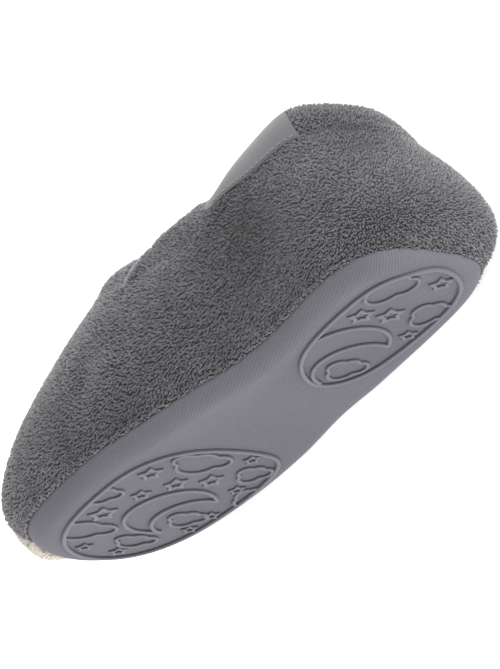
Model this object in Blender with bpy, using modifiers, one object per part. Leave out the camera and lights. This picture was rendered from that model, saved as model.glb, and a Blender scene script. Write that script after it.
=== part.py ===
"""Child's moccasin slipper: plush upper, foam sole with a raised night-sky tread, insole, toe cap and label.

The slipper is drawn on its last: X runs from heel to toe, Y towards the inner side of the foot and Z up from
the tread. An empty then lays it on its outer side, with the sole's edge and the upper both on the floor.
Metres, +Z up, origin under the middle of the slipper's box.
"""

import math
from typing import NamedTuple

import bmesh
import bpy
import numpy as np
from mathutils import Matrix, Vector

MM = 0.001

# Driving dimensions
WALL = 3.0 * MM             # plush, foam and lining together
CLEARANCE = 0.3 * MM        # between pieces that meet
SEAM_HEIGHT = 5.0 * MM      # where the upper is sewn to the sole
SOLE_ROLL = 7.0 * MM        # radius of the sole's rolled edge
TOE_SPRING = 5.0 * MM       # rise of the sole at the toe
SPRING_START = 128.0 * MM   # length from the heel where that rise begins
SPRING_RUN = 59.0 * MM
ARCH_RISE = 0.8 * MM        # hollow of the waist
ARCH_MIDDLE = 88.0 * MM
ARCH_HALF = 22.0 * MM
SEAM_STEP = 1.2 * MM        # upright edge of the wall at the sole
COLLAR_ROLL = 8.0 * MM      # depth of the padded roll round the mouth
COLLAR_SWELL = 0.9 * MM
COLLAR_CREASE = 0.2 * MM    # soft crease under the roll
CREASE_WIDTH = 1.5 * MM
INSOLE_THICK = 2.5 * MM
INSOLE_INSET = WALL + 0.8 * MM
CAP_THICK = 2.0 * MM
LABEL_THICK = 0.6 * MM
LABEL_CLEARANCE = 0.65 * MM

# Facets
STATIONS_ROUND = 84
ROLL_STEPS = 5
RIB_ROWS = (0.0, 0.05, 0.12, 0.21, 0.33, 0.47, 0.63, 0.81)
COLLAR_ROWS = (1.0, 0.8, 0.5, 0.25, 0.0)
RIDGE_STEP = 2.3 * MM        # length of a facet along a crescent's line
RIM_STEP = 3.4 * MM          # and along a pad's rim
FINE_STEPS = 2000            # points that a closed curve is measured with
FINE_RIM = 200               # points of a rim that cuts the clouds
NUDGE = 1e-4                 # share of the way round that a slope is taken over
WELD = 0.001 * MM


class Station(NamedTuple):
    """One rib of the upper, in millimetres on the last, from the sole's seam to the edge of the mouth."""

    name: str
    seam_x: float
    seam_y: float
    bulge: float
    lift: float
    lean_x: float
    lean_y: float
    lean_z: float
    mouth_x: float
    mouth_y: float
    mouth_z: float


# The wall leaves the seam towards bulge and lift, and comes to the mouth from the lean below it.
STATIONS = (
    Station("heel_back", 2.0, 0.0, 21, 9, -6, 0, -15, 16.0, 0.0, 55.5),
    Station("heel_corner_inner", 4.5, 21.0, 12, 9, -6, 5, -16, 21.0, 13.0, 58.5),
    Station("heel_inner", 22.0, 27.0, 8, 10, -3, 7, -17, 31.0, 20.0, 59.0),
    Station("waist_inner", 58.0, 23.0, 7, 10, 0, 9, -15, 58.0, 22.5, 53.0),
    Station("ball_back_inner", 98.0, 28.5, 7, 11, 3, 12, -12, 84.0, 20.0, 52.4),
    Station("ball_inner", 126.0, 33.3, 7, 12, 10, 15, -7, 103.0, 16.0, 54.0),
    Station("toe_inner", 158.0, 28.3, 12, 13, 18, 12, -8, 112.0, 11.0, 57.5),
    Station("toe_shoulder_inner", 177.0, 16.0, 16, 14, 28, 6, -10, 114.5, 5.0, 61.0),
    Station("toe_tip", 184.5, -4.0, 14, 16, 32, -1, -10, 114.5, -1.0, 62.0),
    Station("toe_shoulder_outer", 175.0, -22.5, 12, 17, 30, -8, -8, 114.0, -7.0, 61.0),
    Station("ball_front_outer", 150.0, -29.3, 9, 14, 19, -13, -6, 110.0, -13.0, 57.5),
    Station("ball_outer", 120.0, -31.0, 9, 12, 9, -14, -7, 101.0, -18.0, 54.0),
    Station("waist_outer", 75.0, -27.6, 9, 12, 0, -10, -14, 66.0, -23.0, 52.8),
    Station("heel_outer", 28.0, -23.8, 9, 12, -3, -8, -16, 33.0, -19.5, 58.0),
    Station("heel_corner_outer", 8.0, -16.5, 18, 8, -6, -5, -16, 23.0, -12.0, 57.0),
)
NAMES = [station.name for station in STATIONS]

# The cap and the label lie between these places, counted in stations from the heel's back
CAP_FROM = NAMES.index("toe_shoulder_inner") + 0.15
CAP_TO = NAMES.index("toe_shoulder_outer") + 0.15
CAP_COLUMNS = 19
CAP_ROWS = 6
CAP_LOW = 0.04
CAP_HIGH = 0.36
CAP_ROUNDING = 0.75
LABEL_FROM = NAMES.index("heel_corner_inner") + 0.55
LABEL_TO = NAMES.index("waist_inner") + 0.12
LABEL_DROP_HEEL = 11.0 * MM
LABEL_DROP_TOE = 2.2 * MM


class Dip(NamedTuple):
    """A place where the collar's edge is drawn down: its station, half width in stations and depth in millimetres."""

    name: str
    station: float
    half_width: float
    depth: float


DIPS = (
    Dip("under_label", 2.4, 0.4, 1.0),
    Dip("label_front", 3.02, 0.22, 4.3),
    Dip("throat_corner_inner", 4.3, 0.28, 1.6),
    Dip("throat_corner_outer", 11.3, 0.28, 1.6),
)


class Ridge(NamedTuple):
    """Width, height and root of one kind of raised tread line, in millimetres."""

    width: float
    height: float
    root: float


RIM = Ridge(1.8, 0.9, 1.4)
MOON = Ridge(1.6, 0.82, 1.3)
CLOUD = Ridge(1.3, 0.74, 1.2)
STAR = Ridge(1.1, 0.66, 1.1)


class Arc(NamedTuple):
    """An arc of a crescent, in millimetres and degrees from the toe direction towards the inner side."""

    x: float
    y: float
    radius: float
    start: float
    end: float


class Puff(NamedTuple):
    """A cloud: its middle and its size across and along the sole, in millimetres."""

    x: float
    y: float
    across: float
    along: float


class Spark(NamedTuple):
    """A five-pointed star: its middle and the radius of its points, in millimetres."""

    x: float
    y: float
    radius: float


class Pad(NamedTuple):
    """One tread pad: the points of its rim and what stands inside it."""

    name: str
    rim: tuple
    moon: tuple
    clouds: tuple
    stars: tuple


PADS = (
    Pad(
        "heel",
        rim=((68.1, -4.9), (63.7, 5.2), (53.2, 12.7), (39.1, 16), (24.9, 16.9), (12.6, 14.9),
             (5.4, 6.2), (7.2, -6.3), (17.1, -13.5), (32.3, -16.1), (48.5, -16), (61.8, -13)),
        moon=(Arc(48.7, 2, 12.7, 252, 108), Arc(56, -6.7, 11.7, 196, 19)),
        clouds=(Puff(59.2, -5.7, 12.2, 10.8), Puff(26.6, -10.9, 11.5, 12.8), Puff(15.6, 11, 14.5, 16.2)),
        stars=(Spark(28.9, 0.6, 4.8), Spark(30.5, 9.5, 4.5), Spark(10.5, -3.2, 4.1), Spark(38.5, -12.4, 3.2)),
    ),
    Pad(
        "forefoot",
        rim=((107.1, -8.6), (109.5, 11.8), (119.8, 22), (134.1, 24.1), (152.7, 21.1), (168.1, 12.4),
             (175.9, -1.5), (172.6, -14.1), (158.8, -21.5), (140.6, -23.8), (124, -24.1), (110.9, -20.1)),
        moon=(Arc(142.9, -5.7, 13.1, -23, 229), Arc(145.2, -13.8, 10.6, 15, 187)),
        clouds=(Puff(115.1, 4.2, 18.9, 11.1), Puff(146.7, -13.8, 12.2, 8.9), Puff(162.7, -7.6, 13.2, 8.1),
                Puff(118.9, -17, 10.6, 8.7), Puff(131.1, -23.9, 8.4, 9.8), Puff(158.4, 14.2, 21.5, 11.5),
                Puff(136.6, 22.1, 11, 8.9)),
        stars=(Spark(146.9, 14.7, 5), Spark(134.4, 10.5, 3.5), Spark(127, 3.8, 4.1), Spark(123.8, -6.2, 4.2),
               Spark(122.4, 15.7, 4.2), Spark(110.8, -11, 3), Spark(169, 5, 3), Spark(170.2, -7.7, 3.2),
               Spark(127.8, -17.9, 2.9), Spark(143.5, -20.2, 3), Spark(152.5, -19.3, 2.8)),
    ),
)
STAR_POINTS = 5
STAR_WAIST = 0.52           # radius between the points, as a share of the points' radius
CLOUD_BUMPS = 5
CLOUD_SCALLOP = 0.16
CLOUD_FINE = 96             # points of a cloud before every few of them are kept
CLOUD_KEPT = 4
MITRE_LIMIT = 2.2


class Finish(NamedTuple):
    """Colour (linear) and roughness of one material."""

    name: str
    colour: tuple
    roughness: float


PLUSH = Finish("grey_plush", (0.130, 0.130, 0.134, 1.0), 0.95)
KNIT_FOAM = Finish("grey_knit_foam", (0.205, 0.205, 0.230, 1.0), 0.80)
FOOTBED = Finish("pale_footbed_fabric", (0.300, 0.290, 0.320, 1.0), 0.92)
CREAM_PLUSH = Finish("cream_plush", (0.580, 0.520, 0.430, 1.0), 0.95)
SATIN = Finish("grey_satin_ribbon", (0.310, 0.310, 0.315, 1.0), 0.45)


def clear_scene():
    """Removes every object of the scene."""
    for obj in list(bpy.data.objects):
        bpy.data.objects.remove(obj, do_unlink=True)


def unit(vectors):
    """Vectors scaled to length 1."""
    return vectors / np.linalg.norm(vectors, axis=-1, keepdims=True)


def closed_spline(rows):
    """Rows, spacings and slopes of the smooth closed curve through a table that starts with its plan."""
    rows = np.asarray(rows, float) * MM
    step = np.roll(rows, -1, axis=0) - rows
    gap = np.sqrt(np.linalg.norm(step[:, :2], axis=1))
    before = np.roll(gap, 1)
    index = np.arange(len(rows))
    system = np.zeros((len(rows), len(rows)))
    system[index, index - 1] = gap
    system[index, index] = 2.0 * (gap + before)
    system[index, (index + 1) % len(rows)] = before
    pull = gap[:, None] * np.roll(step, 1, axis=0) / before[:, None] + before[:, None] * step / gap[:, None]
    return rows, gap, np.linalg.solve(system, 3.0 * pull)


def on_spline(spline, u):
    """Points of a closed spline at the parameters u."""
    rows, gap, slopes = spline
    keys = np.concatenate([[0.0], np.cumsum(gap)])
    u = np.mod(u, keys[-1])
    i = np.clip(np.searchsorted(keys, u, side="right") - 1, 0, len(rows) - 1)
    k = (i + 1) % len(rows)
    h = gap[i][:, None]
    f = (u - keys[i])[:, None] / h
    start = rows[i] * (1 + 2 * f) * (1 - f) ** 2 + h * slopes[i] * f * (1 - f) ** 2
    return start + rows[k] * f * f * (3 - 2 * f) + h * slopes[k] * f * f * (f - 1)


def even_steps(spline, count):
    """Parameters that part a closed spline's plan into equal lengths."""
    fine = np.linspace(0.0, spline[1].sum(), FINE_STEPS)
    plan = on_spline(spline, fine[:-1])[:, :2]
    lengths = np.linalg.norm(np.diff(np.vstack([plan, plan[:1]]), axis=0), axis=1)
    run = np.concatenate([[0.0], np.cumsum(lengths)])
    return np.interp(np.arange(count) * run[-1] / count, run, fine)


LAST = closed_spline([station[1:] for station in STATIONS])
KEYS = np.concatenate([[0.0], np.cumsum(LAST[1])])
HEEL_OUTER = STATIONS[NAMES.index("heel_outer")]
BALL_OUTER = STATIONS[NAMES.index("ball_outer")]
YAW = math.atan2(HEEL_OUTER.seam_y - BALL_OUTER.seam_y, BALL_OUTER.seam_x - HEEL_OUTER.seam_x)


def at_station(number):
    """Parameter of a place counted in stations, such as 1.5 for half way from the second to the third."""
    return np.interp(number, np.arange(len(KEYS)), KEYS)


def station_of(u):
    """Place of a parameter, counted in stations."""
    return np.interp(u, KEYS, np.arange(len(KEYS)))


def collar_dip(u):
    """How far the collar's edge is drawn down its rib at u."""
    number = station_of(u)
    return sum(dip.depth * MM * np.exp(-((number - dip.station) / dip.half_width) ** 2) for dip in DIPS)


def sole_rise(x):
    """Height of the sole's plane over the ground: the hollow of the waist and the spring of the toe."""
    spring = TOE_SPRING * (np.maximum(x - SPRING_START, 0.0) / SPRING_RUN) ** 2
    waist = np.clip((x - ARCH_MIDDLE) / ARCH_HALF, -1.0, 1.0)
    return spring + ARCH_RISE * np.cos(waist * math.pi / 2) ** 2


def seam_and_outward(u):
    """Plan of the sole's seam at u and the unit vectors that point out of it."""
    nudge = KEYS[-1] * NUDGE
    seam = on_spline(LAST, u)[:, :2]
    along = unit(on_spline(LAST, u + nudge)[:, :2] - on_spline(LAST, u - nudge)[:, :2])
    return seam, np.stack([-along[:, 1], along[:, 0]], axis=1)


def floor_side(x):
    """Y of the floor that the outer side lies on, at the length x."""
    return (FLOOR_SPAN - math.sin(YAW) * x) / math.cos(YAW)


def lowest_seam():
    """How far the seam reaches across the line that touches its heel and ball on the outer side."""
    plan = on_spline(LAST, even_steps(LAST, FINE_STEPS))
    return float(np.min(math.sin(YAW) * plan[:, 0] + math.cos(YAW) * plan[:, 1]))


FLOOR_SPAN = lowest_seam()


def rib_controls(u):
    """The four control points of the ribs at u: seam, bulge, lean and mouth."""
    row = on_spline(LAST, u)
    seam, outward = seam_and_outward(u)
    rise = SEAM_HEIGHT + SEAM_STEP + sole_rise(row[:, 0])
    start = np.column_stack([seam, rise])
    swell = start + np.column_stack([outward * row[:, 2:3], row[:, 3]])
    mouth, lean = row[:, 7:10], row[:, 4:7]
    return start, swell, mouth + lean, mouth + unit(lean) * collar_dip(u)[:, None]


def bezier(controls, t):
    """Points of the ribs at the shares t of their way from seam to mouth, one row of t for each rib."""
    a, b, c, d = (point[:, None, :] for point in controls)
    t = t[..., None]
    return a * (1 - t) ** 3 + 3 * b * t * (1 - t) ** 2 + 3 * c * t * t * (1 - t) + d * t ** 3


def bezier_slope(controls, t):
    """Direction of the ribs at t."""
    a, b, c, d = (point[:, None, :] for point in controls)
    t = t[..., None]
    return (b - a) * (1 - t) ** 2 + 2 * (c - b) * t * (1 - t) + (d - c) * t * t


def mouth_pace(controls):
    """Length of rib for each unit of t near the mouth."""
    return 3.0 * np.linalg.norm(controls[3] - controls[2], axis=1)[:, None]


def collar_form(depth):
    """How far the wall stands out at a depth below the mouth: a padded roll with a crease under it."""
    roll = COLLAR_SWELL * np.sin(np.pi * np.clip(depth / COLLAR_ROLL, 0.0, 1.0))
    return roll - COLLAR_CREASE * np.exp(-((depth - COLLAR_ROLL) / CREASE_WIDTH) ** 2)


def upper_surface(u, t):
    """Points and outward normals of the upper's outer face at the ribs u and the shares t of their way up."""
    nudge = KEYS[-1] * NUDGE
    controls = rib_controls(u)
    across = bezier(rib_controls(u + nudge), t) - bezier(rib_controls(u - nudge), t)
    normals = unit(np.cross(bezier_slope(controls, t), across))
    depth = mouth_pace(controls) * (1.0 - t)
    points = bezier(controls, t) + normals * collar_form(depth)[..., None]
    points[..., 1] = np.maximum(points[..., 1], floor_side(points[..., 0]))
    return points, normals


def collar_share(u, depth):
    """Share t of the ribs at u that lies at a depth below the mouth."""
    return 1.0 - depth / mouth_pace(rib_controls(u))


def grid_faces(columns, rows, closed):
    """Quads of a grid of columns by rows, whose first direction may be closed to a ring."""
    last = columns if closed else columns - 1
    i, j = (part.ravel() for part in np.meshgrid(np.arange(last), np.arange(rows - 1), indexing="ij"))
    k = (i + 1) % columns
    return np.stack([i * rows + j, i * rows + j + 1, k * rows + j + 1, k * rows + j], axis=1)


def ladder_faces(count):
    """Rungs across a ring of points from its first point to the opposite one, with a triangle at each end."""
    half = count // 2
    rungs = [(k, k + 1, count - k - 1, count - k) for k in range(1, half - 1)]
    return [(0, 1, count - 1), *rungs, (half - 1, half, half + 1)]


def mesh_object(name, collection, points, faces):
    """A new object of these points and faces in a collection."""
    mesh = bpy.data.meshes.new(name)
    mesh.from_pydata(np.asarray(points).reshape(-1, 3).tolist(), [], [list(map(int, face)) for face in faces])
    mesh.update()
    obj = bpy.data.objects.new(name, mesh)
    collection.objects.link(obj)
    return obj


def add_wall(obj, thickness):
    """Gives an open surface a wall on its inner side."""
    wall = obj.modifiers.new("wall", "SOLIDIFY")
    wall.thickness = thickness
    wall.offset = -1.0
    wall.use_even_offset = True
    wall.use_quality_normals = True


def finish_object(obj, finish, parent, sharp_degrees=40.0):
    """Gives an object its material, smooth shading and place under the empty."""
    material = bpy.data.materials.new(finish.name)
    material.use_nodes = True
    shader = material.node_tree.nodes["Principled BSDF"]
    shader.inputs["Base Color"].default_value = finish.colour
    shader.inputs["Roughness"].default_value = finish.roughness
    shader.inputs["Metallic"].default_value = 0.0
    obj.data.materials.append(material)
    obj.data.shade_smooth()
    obj.data.set_sharp_from_angle(angle=math.radians(sharp_degrees))
    obj.parent = parent


def build_upper(collection):
    """The plush shell: one wall of ribs from the sole's seam to the mouth, open above and below."""
    u = even_steps(LAST, STATIONS_ROUND)
    collar_start = collar_share(u, COLLAR_ROLL)
    shares = np.hstack([collar_start * share for share in RIB_ROWS]
                       + [collar_share(u, COLLAR_ROLL * depth) for depth in COLLAR_ROWS])
    wall, _ = upper_surface(u, shares)
    edge = wall[:, :1].copy()
    edge[..., 2] -= SEAM_STEP
    edge[:, 0, :2] = seam_and_outward(u)[0]
    wall = np.concatenate([edge, wall], axis=1)
    upper = mesh_object("upper", collection, wall, grid_faces(len(u), wall.shape[1], closed=True))
    add_wall(upper, WALL)
    return upper


def sole_rings(u, angles, roll_end):
    """Rings of the sole's rolled edge at angles round the roll, from its flat underside to the seam."""
    seam, outward = seam_and_outward(u)
    flat = seam - outward * SOLE_ROLL * math.sin(roll_end)
    rings = []
    for angle in angles:
        plan = flat + outward * SOLE_ROLL * math.sin(angle)
        height = SOLE_ROLL * (1.0 - math.cos(angle)) + sole_rise(plan[:, 0])
        rings.append(np.column_stack([plan, height]))
    return rings


def stacked_plate(name, collection, rings):
    """A closed plate from rings stacked upwards, with ladders across its underside and its top."""
    count = len(rings[0])
    points = np.stack(rings, axis=1)
    rows = len(rings)
    sides = grid_faces(count, rows, closed=True).tolist()
    top = [[rows * k + rows - 1 for k in reversed(face)] for face in ladder_faces(count)]
    under = [[rows * k for k in face] for face in ladder_faces(count)]
    return mesh_object(name, collection, points, sides + top + under)


def inside(outline, points):
    """Which points lie inside a closed outline, by counting the edges that a line to the right crosses."""
    x, y = points[:, 0:1], points[:, 1:2]
    x0, y0 = outline[:, 0], outline[:, 1]
    x1, y1 = np.roll(x0, -1), np.roll(y0, -1)
    spans = (y0 > y) != (y1 > y)
    with np.errstate(divide="ignore", invalid="ignore"):
        crossing = x0 + (y - y0) * (x1 - x0) / (y1 - y0)
    return np.sum(spans & (x < crossing), axis=1) % 2 == 1


def cut_by_rim(outline, path):
    """The run of a closed path that lies inside a rim, and whether the path is still closed."""
    kept = inside(outline, path)
    if kept.all():
        return path[::CLOUD_KEPT], True
    first = int(np.argmax(kept & ~np.roll(kept, 1)))
    run = np.roll(path, -first, axis=0)[:int(kept.sum())]
    return np.vstack([run[:-1:CLOUD_KEPT], run[-1:]]), False


def cloud_path(puff):
    """A scalloped oval: bumps of the sine's size round an ellipse."""
    turn = np.linspace(0.0, 2 * math.pi, CLOUD_FINE, endpoint=False)
    reach = 1.0 - CLOUD_SCALLOP * (1.0 - np.abs(np.sin(turn * CLOUD_BUMPS / 2)))
    x = puff.x + 0.5 * puff.along * reach * np.cos(turn)
    y = puff.y + 0.5 * puff.across * reach * np.sin(turn)
    return np.column_stack([x, y]) * MM


def star_path(spark):
    """A five-pointed star with one point towards the toe, as the middle of its raised line."""
    turn = np.arange(2 * STAR_POINTS) * math.pi / STAR_POINTS
    tip = spark.radius - STAR.width / 2
    radius = np.where(np.arange(2 * STAR_POINTS) % 2 == 0, tip, tip * STAR_WAIST)
    return np.column_stack([spark.x + radius * np.cos(turn), spark.y + radius * np.sin(turn)]) * MM


def arc_path(arc):
    """Points along an arc of a crescent."""
    sweep = math.radians(abs(arc.end - arc.start))
    count = max(4, round(arc.radius * MM * sweep / RIDGE_STEP))
    turn = np.radians(np.linspace(arc.start, arc.end, count))
    return np.column_stack([arc.x + arc.radius * np.cos(turn), arc.y + arc.radius * np.sin(turn)]) * MM


def offset_path(path, distance, closed):
    """A path moved sideways by a distance, with mitred corners."""
    ahead = np.roll(path, -1, axis=0)
    behind = np.roll(path, 1, axis=0)
    if not closed:
        ahead[-1] = 2 * path[-1] - path[-2]
        behind[0] = 2 * path[0] - path[1]
    come, go = unit(path - behind), unit(ahead - path)
    normals = np.stack([-come[:, 1] - go[:, 1], come[:, 0] + go[:, 0]], axis=1)
    mitre = normals / (1.0 + np.sum(come * go, axis=1, keepdims=True))
    length = np.linalg.norm(mitre, axis=1, keepdims=True)
    return path + distance * mitre * np.minimum(1.0, MITRE_LIMIT / length)


def ridge_object(name, collection, path, closed, ridge):
    """A raised line under the sole: a flat ribbon along a path, extruded and bent to the sole's rise."""
    half = ridge.width * MM / 2
    left, right = offset_path(path, half, closed), offset_path(path, -half, closed)
    loops = [left, right] if closed else [np.vstack([left, right[::-1]])]
    curve = bpy.data.curves.new(name, "CURVE")
    curve.dimensions = "2D"
    curve.fill_mode = "BOTH"
    curve.extrude = (ridge.height + ridge.root) * MM / 2
    for loop in loops:
        spline = curve.splines.new("POLY")
        spline.points.add(len(loop) - 1)
        spline.use_cyclic_u = True
        weights = np.tile([0.0, 1.0], (len(loop), 1))
        spline.points.foreach_set("co", np.hstack([loop, weights]).ravel())
    outline = bpy.data.objects.new(name + "_outline", curve)
    collection.objects.link(outline)
    bpy.context.view_layer.update()
    shape = outline.evaluated_get(bpy.context.evaluated_depsgraph_get())
    mesh = bpy.data.meshes.new_from_object(shape)
    bpy.data.objects.remove(outline, do_unlink=True)
    body = bmesh.new()
    body.from_mesh(mesh)
    bmesh.ops.remove_doubles(body, verts=body.verts, dist=WELD)
    bmesh.ops.recalc_face_normals(body, faces=body.faces)
    for vertex in body.verts:
        vertex.co.z += (ridge.root - ridge.height) * MM / 2 + float(sole_rise(vertex.co.x))
    body.to_mesh(mesh)
    body.free()
    obj = bpy.data.objects.new(name, mesh)
    collection.objects.link(obj)
    obj.hide_render = True
    obj.display_type = "WIRE"
    return obj


def build_tread(collection):
    """The raised lines of both pads: rim, crescent, clouds and stars."""
    lines = []
    for pad in PADS:
        spline = closed_spline(pad.rim)
        fine_rim = on_spline(spline, even_steps(spline, FINE_RIM))
        length = np.linalg.norm(np.diff(fine_rim, axis=0), axis=1).sum()
        rim = on_spline(spline, even_steps(spline, round(length / RIM_STEP)))
        lines.append((pad.name + "_rim", rim, True, RIM))
        for number, arc in enumerate(pad.moon):
            lines.append((f"{pad.name}_moon_{number}", arc_path(arc), False, MOON))
        for number, puff in enumerate(pad.clouds):
            path, closed = cut_by_rim(fine_rim, cloud_path(puff))
            lines.append((f"{pad.name}_cloud_{number}", path, closed, CLOUD))
        for number, spark in enumerate(pad.stars):
            lines.append((f"{pad.name}_star_{number}", star_path(spark), True, STAR))
    return [ridge_object(name, collection, path, closed, ridge) for name, path, closed, ridge in lines]


def build_outsole(collection, tread):
    """The foam sole: flat underside, rolled edge up to the seam, and the tread lines joined on."""
    roll_end = math.acos(1.0 - (SEAM_HEIGHT - CLEARANCE) / SOLE_ROLL)
    u = even_steps(LAST, STATIONS_ROUND)
    rings = sole_rings(u, np.linspace(0.0, roll_end, ROLL_STEPS), roll_end)
    outsole = stacked_plate("outsole", collection, rings)
    join = outsole.modifiers.new("tread", "BOOLEAN")
    join.operation = "UNION"
    join.operand_type = "COLLECTION"
    join.collection = tread
    join.solver = "EXACT"
    return outsole


def build_insole(collection):
    """The footbed: a plate on the sole, clear of the wall all round."""
    seam, outward = seam_and_outward(even_steps(LAST, STATIONS_ROUND))
    plan = seam - outward * INSOLE_INSET
    rise = SEAM_HEIGHT + sole_rise(plan[:, 0])
    rings = [np.column_stack([plan, rise + lift]) for lift in (0.0, INSOLE_THICK)]
    return stacked_plate("insole", collection, rings)


def build_toe_cap(collection):
    """The cream panel: a patch of the upper's own face over the toe, lying on it."""
    across = np.linspace(-1.0, 1.0, CAP_COLUMNS)
    u = at_station(CAP_FROM + (CAP_TO - CAP_FROM) * (across + 1.0) / 2)
    height = CAP_LOW + (CAP_HIGH - CAP_LOW) * (1.0 - across ** 2) ** CAP_ROUNDING
    points, normals = upper_surface(u, height[:, None] * np.linspace(0.0, 1.0, CAP_ROWS))
    points = points + normals * (CLEARANCE + CAP_THICK)
    cap = mesh_object("toe_cap", collection, points, grid_faces(CAP_COLUMNS, CAP_ROWS, closed=False))
    add_wall(cap, CAP_THICK)
    return cap


def build_side_label(collection):
    """The ribbon: up the outside of the collar, over its edge and down inside, tapering towards the toe."""
    ribs = even_steps(LAST, STATIONS_ROUND)
    place = (station_of(ribs) - LABEL_FROM) / (LABEL_TO - LABEL_FROM)
    under = (place >= 0.0) & (place <= 1.0)
    u = ribs[under]
    drop = LABEL_DROP_HEEL + (LABEL_DROP_TOE - LABEL_DROP_HEEL) * place[under][:, None] ** 1.6
    off = LABEL_CLEARANCE + LABEL_THICK
    leg, leg_normals = upper_surface(u, collar_share(u, drop * np.array([1.0, 0.66, 0.33, 0.0])))
    outer = leg + leg_normals * off
    inner = (leg - leg_normals * (WALL + off))[:, ::-1]
    climb = unit(leg[:, -1] - leg[:, -2]) * off
    over = np.stack([outer[:, -1] + climb, inner[:, 0] + climb], axis=1)
    points = np.concatenate([outer, over, inner], axis=1)
    faces = grid_faces(len(u), points.shape[1], closed=False)
    label = mesh_object("side_label", collection, points, faces)
    add_wall(label, LABEL_THICK)
    return label


def lay_down(empty, pieces):
    """Turns the slipper on its outer side and sets the middle of its box over the origin, on the floor."""
    on_side = Matrix.Rotation(math.pi, 4, "Z") @ Matrix.Rotation(math.pi / 2, 4, "X")
    turn = on_side @ Matrix.Rotation(YAW, 4, "Z")
    empty.matrix_world = turn
    bpy.context.view_layer.update()
    graph = bpy.context.evaluated_depsgraph_get()
    corners = []
    for piece in pieces:
        shape = piece.evaluated_get(graph)
        points = np.empty(3 * len(shape.data.vertices))
        shape.data.vertices.foreach_get("co", points)
        corners.append(points.reshape(-1, 3) @ np.array(turn.to_3x3()).T)
    points = np.vstack(corners)
    low, high = points.min(axis=0), points.max(axis=0)
    middle = (low + high) / 2
    empty.matrix_world = Matrix.Translation(Vector((-middle[0], -middle[1], -low[2]))) @ turn
    bpy.context.view_layer.update()


def main():
    """Builds every piece of the slipper and lays it on its side."""
    clear_scene()
    slipper = bpy.data.collections.new("moccasin_slipper")
    tread = bpy.data.collections.new("tread_lines")
    for collection in (slipper, tread):
        bpy.context.scene.collection.children.link(collection)
    empty = bpy.data.objects.new("slipper_frame", None)
    slipper.objects.link(empty)
    for line in build_tread(tread):
        line.parent = empty
    pieces = [
        (build_upper(slipper), PLUSH),
        (build_outsole(slipper, tread), KNIT_FOAM),
        (build_insole(slipper), FOOTBED),
        (build_toe_cap(slipper), CREAM_PLUSH),
        (build_side_label(slipper), SATIN),
    ]
    for piece, finish in pieces:
        finish_object(piece, finish, empty)
    lay_down(empty, [piece for piece, _ in pieces])


main()
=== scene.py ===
"""Looks of a child's moccasin slipper that lies on its outer side.

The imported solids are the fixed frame. Each piece here is worked out on the slipper's last, as the
solids were: X runs from heel to toe, Y towards the inner side of the foot and Z up from the tread.
Last.lay_down then turns it on its side, where the solids lie. Metres, +Z up.
"""

import logging
import math
from dataclasses import dataclass, field
from enum import Enum
from typing import NamedTuple, Optional, Protocol, Sequence, Union

import bmesh
import bpy
import numpy as np
from mathutils import Matrix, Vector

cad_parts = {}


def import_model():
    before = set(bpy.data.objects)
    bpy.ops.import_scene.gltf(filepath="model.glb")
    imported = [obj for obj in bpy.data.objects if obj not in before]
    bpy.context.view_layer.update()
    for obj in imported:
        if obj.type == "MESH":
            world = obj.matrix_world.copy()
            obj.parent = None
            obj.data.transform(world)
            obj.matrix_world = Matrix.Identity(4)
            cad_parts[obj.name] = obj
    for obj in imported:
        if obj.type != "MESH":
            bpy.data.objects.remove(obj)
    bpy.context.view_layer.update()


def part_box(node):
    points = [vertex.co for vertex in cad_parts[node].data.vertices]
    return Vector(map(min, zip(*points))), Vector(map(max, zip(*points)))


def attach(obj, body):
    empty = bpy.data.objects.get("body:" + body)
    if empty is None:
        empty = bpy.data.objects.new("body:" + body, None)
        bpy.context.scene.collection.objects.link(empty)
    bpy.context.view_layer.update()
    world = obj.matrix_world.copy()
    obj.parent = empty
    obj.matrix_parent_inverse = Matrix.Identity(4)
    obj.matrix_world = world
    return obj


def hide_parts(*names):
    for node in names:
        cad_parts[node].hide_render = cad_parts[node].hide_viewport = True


Array = np.ndarray
Key = Union[str, int]
Socket = bpy.types.NodeSocket

LOG = logging.getLogger("slipper")
MM = 0.001
IMAGE_HEIGHT = 669          # pixels of the photograph
FINE_STEPS = 2000           # points that a closed curve is measured with
NUDGE = 1e-4                # share of the way round that a slope is taken over
WELD = 1e-7
MIDDLE_TONE = 0.5           # of cloth that is neither lighter nor darker than its finish


class Slot(Enum):
    """The record's material slots."""

    PLUSH = "grey_plush"
    KNIT_FOAM = "grey_knit_foam"
    FOOTBED = "pale_footbed_fabric"
    CREAM_PLUSH = "cream_plush"
    SATIN = "grey_satin_ribbon"


class Band(Enum):
    """The bands of loops round the upper, from the sole up."""

    LOW = "low"
    MIDDLE = "middle"
    HIGH = "high"


class Station(NamedTuple):
    """One rib of the upper, in millimetres on the last, from the sole's seam to the edge of the mouth."""

    name: str
    seam_x: float
    seam_y: float
    bulge: float
    lift: float
    lean_x: float
    lean_y: float
    lean_z: float
    mouth_x: float
    mouth_y: float
    mouth_z: float


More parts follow.
